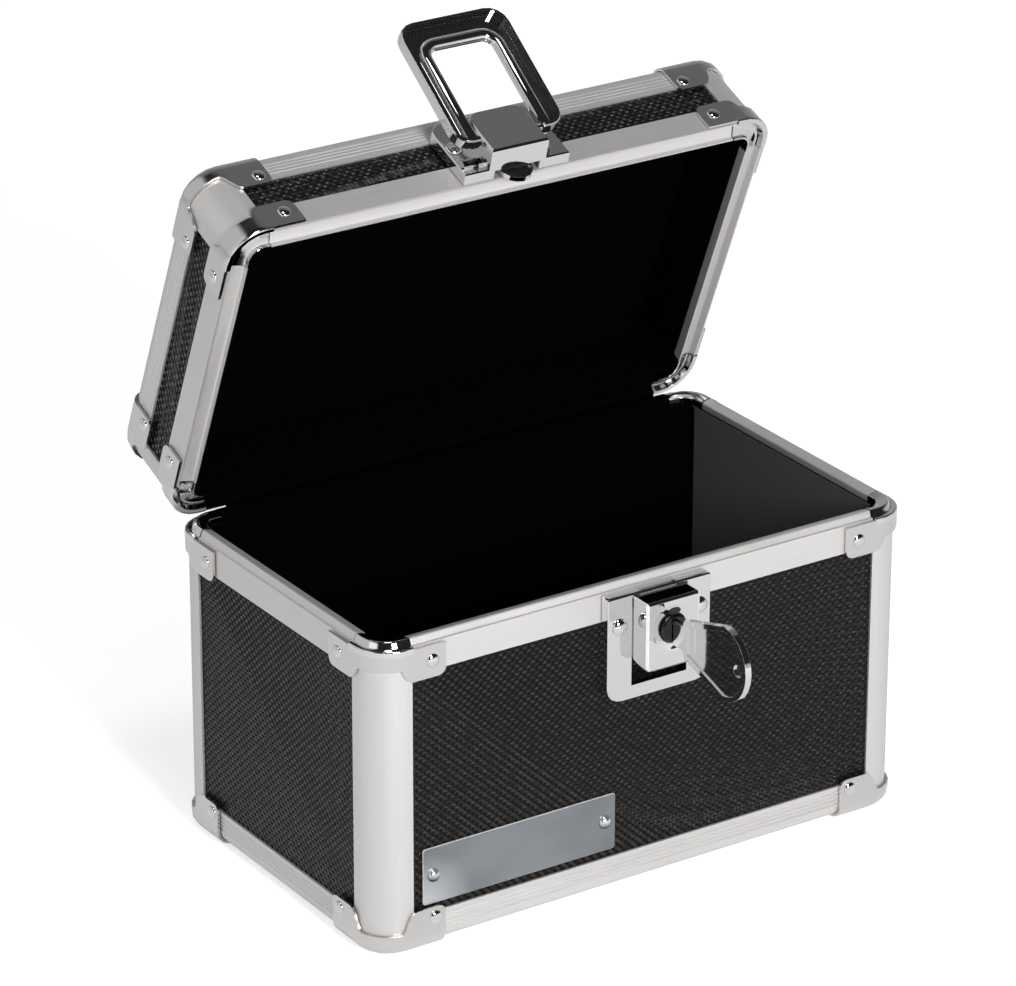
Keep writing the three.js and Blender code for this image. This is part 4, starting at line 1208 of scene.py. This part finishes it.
@dataclass
class CornerFittings(Assembly):
    """Caps on the closed corners, and brackets with chrome elbows on the rims."""

    sheet_edge: float = 0.22
    cap_rivet_reach: float = 18.9
    cap_rivet_height: float = 8.9
    bracket_rivet_reach: float = 18.3
    bracket_rivet_drop: float = 5.4
    rivets: Rivets = Rivets(2.06, 0.92)
    elbow_leg: float = 12.2
    elbow_skin: float = 0.04
    elbow_steps: int = 12
    elbow_sharp: float = 40.0
    elbow_weld: float = 0.001

    def build(self) -> None:
        """Refines the sheet pieces and adds the rivets and elbows."""
        for node in self.nodes("_cap", "_rim_bracket"):
            half = Half.of(node)
            piece = self.refined(node, "pressed", self.sheet_edge)
            kept(piece, half.value, PlatedSheet(half.is_lid), [node])
        for half in Half:
            self.add_rivets(half)
            self.add_elbows(half)

    def add_rivets(self, half: Half) -> None:
        """Puts a head on both faces of each cap and bracket."""
        s = self.sizes
        drop = s.height(half) - self.bracket_rivet_drop
        spots = ((self.cap_rivet_reach, self.cap_rivet_height), (self.bracket_rivet_reach, drop))
        places = []
        for corner in Corner:
            at = s.corner_matrix(half, corner)
            for reach, height in spots:
                places.append(at @ shift(reach, -s.sheet_outer, height))
                places.append(at @ shift(-s.sheet_outer, reach, height) @ turn(-90))
        heads = self.rivets.rows(f"{half.value}_rivets", places)
        kept(heads, half.value, PolishedChrome(half.is_lid))

    def elbow_outline(self, half: Half) -> list[tuple[float, float]]:
        """The elbow's section as (inset, height above the seam), a skin over the CAD one."""
        s, k = self.sizes, self.elbow_skin
        outer, wall = -s.sheet_outer - k, s.wall + k
        if half is Half.BASE:
            return [
                (outer, -1.9), (outer, -0.45), (outer + 0.12, -0.16), (outer + 0.42, k),
                (0.45, k), (0.75, -0.12), (0.98, 0.1 + k), (1.35, 1.15 + k), (1.6, 1.62 + k),
                (1.9, 1.85 + k), (2.5, 1.85 + k), (3.1, 1.72 + k), (4.75, 1.2 + k),
                (wall - 0.12, 1.0), (wall, 0.7), (wall, -0.85), (0.2, -0.85), (0.2, -1.9),
            ]
        return [
            (outer, -1.9), (outer, -0.75), (outer + 0.12, -0.46), (outer + 0.42, k - 0.3),
            (0.35, k - 0.3), (0.75, k - 0.45), (1.3, k - 1.8), (1.75, k - 2.15),
            (2.65, k - 2.15), (4.6, k - 1.65), (5.5, k - 1.35), (5.75, k - 1.0),
            (5.75, k - 0.2), (5.95, k), (6.2, k), (6.35 + k, -0.2), (6.35 + k, -2.6),
            (0.2, -2.6), (0.2, -1.9),
        ]

    def add_elbows(self, half: Half) -> None:
        """Sweeps the section round each corner of the rim."""
        s = self.sizes
        leg = self.elbow_leg - s.corner_round
        centre = Vector((s.corner_round, s.corner_round, 0)) * MM
        section = outline_face("elbow_section", self.elbow_outline(half))
        # the section stands across the first leg, with its inset along +Y
        moved(section, shift(self.elbow_leg, 0, 0) @ turn(90))
        with editing(section):
            extrude(-leg, 0, 0)
            bpy.ops.mesh.spin(
                steps=self.elbow_steps, angle=math.pi / 2, center=centre, axis=(0, 0, 1)
            )
            extrude(0, leg, 0)
            bpy.ops.mesh.select_all(action="SELECT")
            bpy.ops.mesh.remove_doubles(threshold=self.elbow_weld * MM)
            face_outwards()
        shaded(section, self.elbow_sharp)
        rim = shift(0, 0, s.height(half))
        elbows = [
            stamped(section, f"elbow_{i}", s.corner_matrix(half, corner) @ rim)
            for i, corner in enumerate(Corner)
        ]
        discard(section)
        row = joined(elbows, f"{half.value}_rim_elbows")
        kept(row, half.value, PolishedChrome(half.is_lid))


@dataclass
class Hinge(Assembly):
    """The two leaves along the rear and their rivets."""

    edge: float = 0.15
    length: float = 136.0
    rivet_count: int = 5
    rivets: Rivets = Rivets(1.55, 0.7)
    base_rivet_height: float = -5.85
    lid_rivet_height: float = 4.0

    def build(self) -> None:
        """Refines the leaves and adds finer heads over their rivets."""
        s = self.sizes
        rear = s.case_back + s.depth / 2 + s.sheet_outer
        leaves = (
            (Half.BASE, self.base_rivet_height, Matrix.Identity(4)),
            (Half.LID, self.lid_rivet_height, s.lid_matrix()),
        )
        for half, height, opened in leaves:
            node = f"hinge_{half.value}_leaf"
            leaf = self.refined(node, "rolled", self.edge)
            kept(leaf, half.value, DarkNickel(half.is_lid), [node])
            places = []
            for i in range(self.rivet_count):
                x = self.length * ((i + 0.5) / self.rivet_count - 0.5)
                places.append(opened @ shift(x, rear, s.seam_height + height) @ turn(180))
            heads = self.rivets.rows(f"{node}_rivets", places)
            kept(heads, half.value, PlatedSheet(half.is_lid))


@dataclass
class Lock(Assembly):
    """The lock plate, its sliding housing, the cylinder and the key."""

    plate_edge: float = 0.3
    housing_edge: float = 0.32
    key_edge: float = 0.28
    cylinder_edge: float = 0.16
    rivet_reach: float = 13.8
    rivet_drop: float = 10.0
    rivets: Rivets = Rivets(2.6, 1.4)
    plate_proud: float = 3.6
    housing_proud: float = 10.6
    index_half: tuple[float, float] = (2.1, 1.05)
    index_offset: float = 0.2
    index_drop: float = 5.8
    index_depth: float = 0.12
    index_edge: float = 0.03
    index_steps: int = 32
    cylinder_drop: float = 11.1
    cylinder_proud: float = 11.4
    dish: Pairs = ((7.15, -0.02), (6.95, -0.02), (6.6, 0.06), (5.4, 0.3), (4.75, 0.4))
    dish_steps: int = 64
    # outline of the painted shade in the gap beside the key's blade
    keyway: Pairs = (
        (-0.3, 2.3), (0.3, 2.6), (1.0, 2.5), (1.0, -3.9), (0.4, -4.1), (0.2, -3.2),
        (-0.3, -1.9), (-0.9, -0.6), (-0.8, 1.2),
    )
    # outline of the key's painted shadow, which hooks out below the cylinder
    shadow_hook: Pairs = (
        (0.1, -4.3), (1.6, -4.3), (1.75, -5.2), (1.4, -6.0), (0.7, -6.4), (-0.7, -6.4),
        (-0.8, -6.0), (0.2, -5.6), (0.5, -5.0),
    )
    mark: float = 0.05
    edge_turn: Span = (0.2, 0.97)

    def build(self) -> None:
        """Refines the lock's pieces, and adds its rivets and marks."""
        s = self.sizes
        parts = (
            ("lock_plate", "base", self.plate_edge, PolishedChrome(), Slot.CHROME),
            ("lock_slide", "slide", self.housing_edge, PolishedChrome(), Slot.CHROME),
            ("lock_cylinder", "cylinder", self.cylinder_edge, DarkNickel(), Slot.NICKEL),
            ("key", "key", self.key_edge, PolishedChrome(), Slot.CHROME),
        )
        for node, body, edge, finish, slot in parts:
            piece = self.refined(node, "polished", edge)
            kept(piece, body, finish, [node])
            # the rounded edges of the housing and the key get a painted highlight
            if node in ("lock_slide", "key"):
                self.paint_edge_highlights(piece)
        places = [
            shift(s.lock_offset + x, s.front - self.plate_proud, s.seam_height - self.rivet_drop)
            for x in (-self.rivet_reach, self.rivet_reach)
        ]
        kept(self.rivets.rows("lock_rivets", places), "base", PolishedChrome())
        face = Vector((s.lock_offset, s.front - self.housing_proud, s.seam_height))
        self.add_index(face + Vector((self.index_offset, 0, -self.index_drop)))
        axis = face - Vector((0, 0, self.cylinder_drop))
        self.add_dish(axis)
        proud = Vector((0, self.cylinder_proud - self.housing_proud, 0))
        # black plates: painted shade beside the key's blade, and the key's painted shadow below
        # the cylinder
        self.add_painted_shade("keyway_painted_shade", self.keyway, axis - proud, "cylinder")
        self.add_painted_shade("keyway_painted_shadow", self.shadow_hook, axis - Vector((0, self.mark, 0)), "slide")

    def paint_edge_highlights(self, piece: Piece) -> None:
        """Gives the rounded edges beside a piece's side faces a pale colour as a painted
        highlight.
        """
        low, high = self.edge_turn
        accent(piece, EdgeHighlightPaint(), lambda face: low < abs(face.normal.x) < high)

    def add_dish(self, axis: Vector) -> None:
        """Turns the shallow dish round the cylinder, in rings from its rim inwards.

        Args:
            axis: Where the cylinder's axis meets the housing's front, in millimetres.
        """
        (radius, depth), *rings = self.dish
        dish = primitive(
            bpy.ops.mesh.primitive_circle_add, "cylinder_dish",
            vertices=self.dish_steps, radius=radius * MM, rotation=(math.pi / 2, 0, 0),
        )
        moved(settle(dish), shift(axis.x, axis.y + depth, axis.z))
        with editing(dish, "VERT"):
            for ring_radius, ring_depth in rings:
                extrude(0, ring_depth - depth, 0)
                shrink = ring_radius / radius
                bpy.ops.transform.resize(value=(shrink, 1, shrink), center_override=axis * MM)
                radius, depth = ring_radius, ring_depth
            face_outwards()
        with_modifier(dish, "SOLIDIFY", thickness=self.mark * MM, offset=0)
        kept(smooth(dish, DOME_SHARP), "slide", PolishedChrome())

    def add_painted_shade(
        self, name: str, outline: Sequence[tuple[float, float]], place: Vector, body: str
    ) -> None:
        """Adds painted shade beside the key's blade as a thin black plate on the metal.

        Args:
            name: The piece's name.
            outline: Its (x, z) corners from the cylinder's axis, in millimetres.
            place: Where the axis meets the face that carries it.
            body: The body that it moves with.
        """
        recess = outline_face(name, outline)
        with editing(recess):
            extrude(0, self.mark, 0)
            face_outwards()
        moved(recess, shift(place.x, place.y - self.mark / 2, place.z))
        kept(recess, body, BlackPaint())

    def add_index(self, middle: Vector) -> None:
        """Adds the painted oval above the cylinder."""
        mark = primitive(
            bpy.ops.mesh.primitive_cylinder_add, "lock_index",
            vertices=self.index_steps, radius=1, depth=1, location=middle * MM,
        )
        mark.rotation_euler = (math.pi / 2, 0, 0)
        mark.scale = Vector((*self.index_half, self.index_depth)) * MM
        kept(softened(settle(mark), self.index_edge), "slide", BlackPaint())


@dataclass
class Latch(Assembly):
    """The latch plate on the lid and its finger loop."""

    plate_edge: float = 0.3
    loop_edge: float = 0.3
    rivet_reach: float = 15.2
    rivet_height: float = 12.2
    rivets: Rivets = Rivets(2.45, 1.15)
    plate_proud: float = 3.8
    draft: float = 7.2
    wall_bottom: float = 0.8
    wall_reach: tuple[float, float] = (0.3, 1.7)
    pivot_proud: float = 8.4
    pivot_height: float = 8.6
    loop_lean: float = 14.0
    window_half: float = 10.6
    window_reach: float = 32.2
    window_round: float = 3.0
    window_steps: int = 8
    roll_width: float = 3.8
    roll_near: float = -1.3
    roll_seat: float = 0.6
    roll_rise: float = 1.85
    roll_wall: float = 0.15
    roll_rings: int = 7
    plain_roll: Pairs = ((2.4, 1.76), (1.5, 0.88))

    def build(self) -> None:
        """Refines the plate and the loop, and adds the plate's rivets."""
        s = self.sizes
        chrome = PolishedChrome(on_lid=True)
        plate = self.copied("latch_plate", "polished")
        self.lean_wall(plate)
        kept(softened(plate, self.plate_edge), "lid", chrome, ["latch_plate"])
        loop = self.round_loop(self.copied("finger_loop", "polished"))
        kept(loop, "loop", chrome, ["finger_loop"])
        y, z = s.front - self.plate_proud, s.seam_height + self.rivet_height
        places = [
            s.lid_matrix() @ shift(s.lock_offset + x, y, z)
            for x in (-self.rivet_reach, self.rivet_reach)
        ]
        kept(self.rivets.rows("latch_rivets", places), "lid", chrome)

    def lean_wall(self, plate: Piece) -> None:
        """Gives the plate's lower wall the draft of a pressed one."""
        s = self.sizes
        moved(plate, s.lid_matrix().inverted())
        low, high = ((s.seam_height + reach) * MM for reach in self.wall_reach)
        foot = Vector((0, s.front - self.plate_proud, s.seam_height + self.wall_bottom)) * MM
        with editing(plate, "VERT", lambda place: low < place.z < high):
            bpy.ops.transform.rotate(
                value=math.radians(self.draft), orient_axis="X", center_override=foot
            )
        moved(plate, s.lid_matrix())

    def round_loop(self, loop: Piece) -> Piece:
        """Sets a half-round roll round the loop's window, in place of the plain one.

        Args:
            loop: The copied loop.

        Returns:
            The loop with its roll.
        """
        s = self.sizes
        pivot = shift(s.lock_offset, s.front - self.pivot_proud, s.seam_height + self.pivot_height)
        place = s.lid_matrix() @ pivot @ turn(self.loop_lean, "X")
        moved(loop, place.inverted())
        for proud, drop in self.plain_roll:
            level = -proud * MM
            with editing(loop, "VERT", lambda p, y=level: abs(p.y - y) < NEAR * MM):
                bpy.ops.transform.translate(value=(0, drop * MM, 0))
        softened(loop, self.loop_edge, 3)
        return moved(joined([loop, self.roll()], loop.name), place)

    def roll(self) -> Piece:
        """Models the roll beside the window as a band that domes towards -Y.

        Returns:
            The roll, at the loop's pivot.
        """
        roll = outline_face("finger_loop_roll", self.roll_outline())
        front = self.roll_seat + self.roll_wall
        with editing(roll):
            extrude(0, -self.roll_wall, 0)
            face_outwards()
        moved(roll, shift(0, -self.roll_seat, 0))
        half, rise = self.roll_width / 2, self.roll_rise - self.roll_wall
        turns = [i / (self.roll_rings + 1) * math.pi / 2 for i in range(self.roll_rings + 1)]
        with editing(roll, chosen=lambda place: place.y < -(front - NEAR) * MM):
            for last, angle in zip(turns, turns[1:]):
                bpy.ops.mesh.inset(
                    thickness=half * (math.cos(last) - math.cos(angle)) * MM,
                    depth=rise * (math.sin(angle) - math.sin(last)) * MM,
                )
        return smooth(roll, ROLL_SHARP)

    def roll_outline(self) -> list[tuple[float, float]]:
        """The roll's outline, from the near end of one side round the far bar to the other."""
        def edge(inset: float) -> list[tuple[float, float]]:
            """The window's edge from left to right, moved outwards by an inset."""
            x, z = self.window_half - self.window_round, self.window_reach - self.window_round
            radius, steps = self.window_round + inset, self.window_steps
            turns = [math.pi / 2 * i / steps for i in range(steps + 1)]
            right = [(x + radius * math.sin(t), z + radius * math.cos(t)) for t in turns]
            left = [(-a, b) for a, b in reversed(right)]
            return [(-x - radius, self.roll_near), *left, *right, (x + radius, self.roll_near)]

        return edge(self.roll_width) + edge(0.0)[::-1]


@dataclass
class Badge(Assembly):
    """The bare name plate on the front and its two rivets."""

    left: float = 15.5
    right: float = 81.2
    bottom: float = 12.7
    top: float = 30.4
    thickness: float = 0.65
    seat: float = 0.8
    corner: float = 0.8
    corner_segments: int = 4
    edge: float = 0.2
    rivet_places: Pairs = ((19.0, 21.7), (77.6, 22.0))
    rivets: Rivets = Rivets(2.05, 1.45)

    def build(self) -> None:
        """Models the plate on the studs of the front panel."""
        s = self.sizes
        side = -s.width / 2
        back = s.front + self.seat
        front = back - self.thickness
        low = (side + self.left, front, s.ground + self.bottom)
        high = (side + self.right, back, s.ground + self.top)
        plate = box("badge_plate", low, high)
        through = self.thickness * MM / 2
        round_edges(plate, lambda run: abs(run.y) > through, self.corner, self.corner_segments)
        kept(softened(plate, self.edge, 3), "base", BadgeSteel())
        # the plate's edges get a pale colour as a painted highlight
        accent(plate, EdgeHighlightPaint(), lambda face: abs(face.normal.y) < FACING)
        places = [shift(side + x, front, s.ground + z) for x, z in self.rivet_places]
        kept(self.rivets.rows("badge_rivets", places), "base", BadgeRivet())


@dataclass
class Studio:
    """The floor, the sky, the lamps and the camera.

    The horizon and the screens are greys that the gloss mirrors: stops by height over the
    horizon, and stops by how nearly a ray runs the screen's way. A lamp is a name, a place
    and a size in metres, and a power.
    """

    image_width: int = 1016
    image_height: int = 986
    focal_pixels: float = 5364.0
    azimuth: float = -33.28
    elevation: float = 23.85
    distance: float = 1550.0
    target: Triple = (-20.57, 7.8, 104.10)
    centre_pixels: tuple[float, float] = (483.6, 505.7)
    sensor: float = 36.0
    clip_end: float = 20.0
    floor_size: float = 12.0
    floor_drop: float = 0.2
    floor_grey: float = 0.86
    floor_gloss: float = 0.9
    floor_glow: float = 0.6
    mirrored_glow: float = 0.12
    sky_light: float = 0.36
    horizon: Pairs = ((0.0, 0.6), (0.07, 0.4), (0.14, 0.02), (1.0, 0.02))
    screens: tuple[tuple[Triple, Pairs], ...] = (
        ((-0.8, 0.45, 0.1), ((0.46, 0.0), (0.62, 0.6))),
        ((0.5, 0.85, 0.0), ((0.3, 0.0), (0.4, 0.14), (0.6, 0.16), (0.9, 0.35))),
    )
    lamps: tuple[tuple[str, Triple, float, float], ...] = (
        ("front_box", (-0.15, -1.5, 0.7), 0.4, 19.5),
        ("left_box", (-1.5, -0.3, 0.5), 0.8, 1.0),
        ("top_box", (-0.15, -0.35, 1.6), 0.4, 3.4),
    )
    lamp_aim: Triple = (0.0, 0.0, 0.1)

    def build(self) -> None:
        """Sets the scene round the object."""
        bpy.context.scene.view_settings.view_transform = "Standard"
        self.add_floor()
        self.add_sky()
        self.add_lamps()
        self.add_camera()

    def add_floor(self) -> None:
        """Lays a pale floor that keeps the object's shadow."""
        floor = primitive(
            bpy.ops.mesh.primitive_plane_add, "studio_floor",
            size=self.floor_size, location=(0, 0, -self.floor_drop * MM),
        )
        material = bpy.data.materials.new("studio_floor")
        graph = Graph(material)
        rays = graph.add("LightPath")
        mirrored = graph.mapped(rays.outputs["Is Glossy Ray"], 0.0, self.mirrored_glow, WHOLE)
        glow = graph.mapped(rays.outputs["Is Camera Ray"], mirrored, self.floor_glow, WHOLE)
        graph.surface(
            Base_Color=(self.floor_grey,) * 3,
            Roughness=self.floor_gloss,
            Specular_IOR_Level=0.0,
            Emission_Color=(1, 1, 1),
            Emission_Strength=glow,
        )
        floor.data.materials.append(material)

    def add_sky(self) -> None:
        """White behind the object, soft grey for its light, and dark overhead for its gloss."""
        world = bpy.data.worlds.new("studio_sky")
        bpy.context.scene.world = world
        sky = Graph(world)
        sky.tree.nodes.clear()
        rays = sky.add("LightPath")
        way = sky.add("TexCoord").outputs["Generated"]
        tone = self.ramp(sky, sky.add("SeparateXYZ", way).outputs["Z"], self.horizon)
        for screen, stops in self.screens:
            facing = sky.add("VectorMath", way, screen, operation="DOT_PRODUCT")
            shade = self.ramp(sky, facing.outputs["Value"], stops)
            tone = sky.combine("MAXIMUM", tone, shade)
        white = (1, 1, 1)
        light, gloss, plain = (
            sky.add("Background", Color=colour, Strength=strength).outputs[0]
            for colour, strength in ((white, self.sky_light), (tone, 1.0), (white, 1.0))
        )
        lit = sky.add("MixShader", rays.outputs["Is Glossy Ray"], light, gloss).outputs[0]
        shown = sky.add("MixShader", rays.outputs["Is Camera Ray"], lit, plain).outputs[0]
        sky.add("OutputWorld", Surface=shown)

    def ramp(self, sky: Graph, value: Socket, stops: Pairs) -> Socket:
        """Gives a grey that follows a value through its stops.

        Args:
            sky: The sky's nodes.
            value: The value.
            stops: The value and the grey of each stop.

        Returns:
            The grey.
        """
        node = sky.add("ValToRGB", value)
        elements = node.color_ramp.elements
        while len(elements) < len(stops):
            elements.new(0.5)
        for element, (position, grey) in zip(elements, stops):
            element.position = position
            element.color = (grey, grey, grey, 1)
        return node.outputs[0]

    def add_lamps(self) -> None:
        """Hangs three soft boxes round the object."""
        for name, place, size, power in self.lamps:
            deselect_all()
            bpy.ops.object.light_add(type="AREA", location=place)
            lamp = bpy.context.object
            lamp.name = lamp.data.name = name
            lamp.data.size = size
            lamp.data.energy = power
            way = Vector(self.lamp_aim) - Vector(place)
            lamp.rotation_euler = way.to_track_quat("-Z", "Y").to_euler()

    def add_camera(self) -> None:
        """Stands the camera where the photograph was taken."""
        a, e = math.radians(self.azimuth), math.radians(self.elevation)
        back = Vector((math.sin(a) * math.cos(e), -math.cos(a) * math.cos(e), math.sin(e)))
        deselect_all()
        place = (Vector(self.target) + back * self.distance) * MM
        bpy.ops.object.camera_add(location=place)
        camera = bpy.context.object
        camera.name = "photograph_camera"
        camera.rotation_euler = (-back).to_track_quat("-Z", "Y").to_euler()
        camera.data.sensor_width = self.sensor
        camera.data.lens = self.focal_pixels / self.image_width * self.sensor
        u, v = self.centre_pixels
        camera.data.shift_x = (self.image_width / 2 - u) / self.image_width
        camera.data.shift_y = (v - self.image_height / 2) / self.image_width
        camera.data.clip_end = self.clip_end
        bpy.context.scene.camera = camera


def main() -> None:
    """Loads the frame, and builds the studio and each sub-assembly."""
    logging.basicConfig(level=logging.INFO, format="%(name)s %(message)s")
    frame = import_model()
    sizes = CaseSizes()
    Studio().build()
    for assembly in (Extrusions, Panels, Linings, CornerFittings, Hinge, Lock, Latch, Badge):
        assembly(frame, sizes).build()


if __name__ == "__main__":
    main()
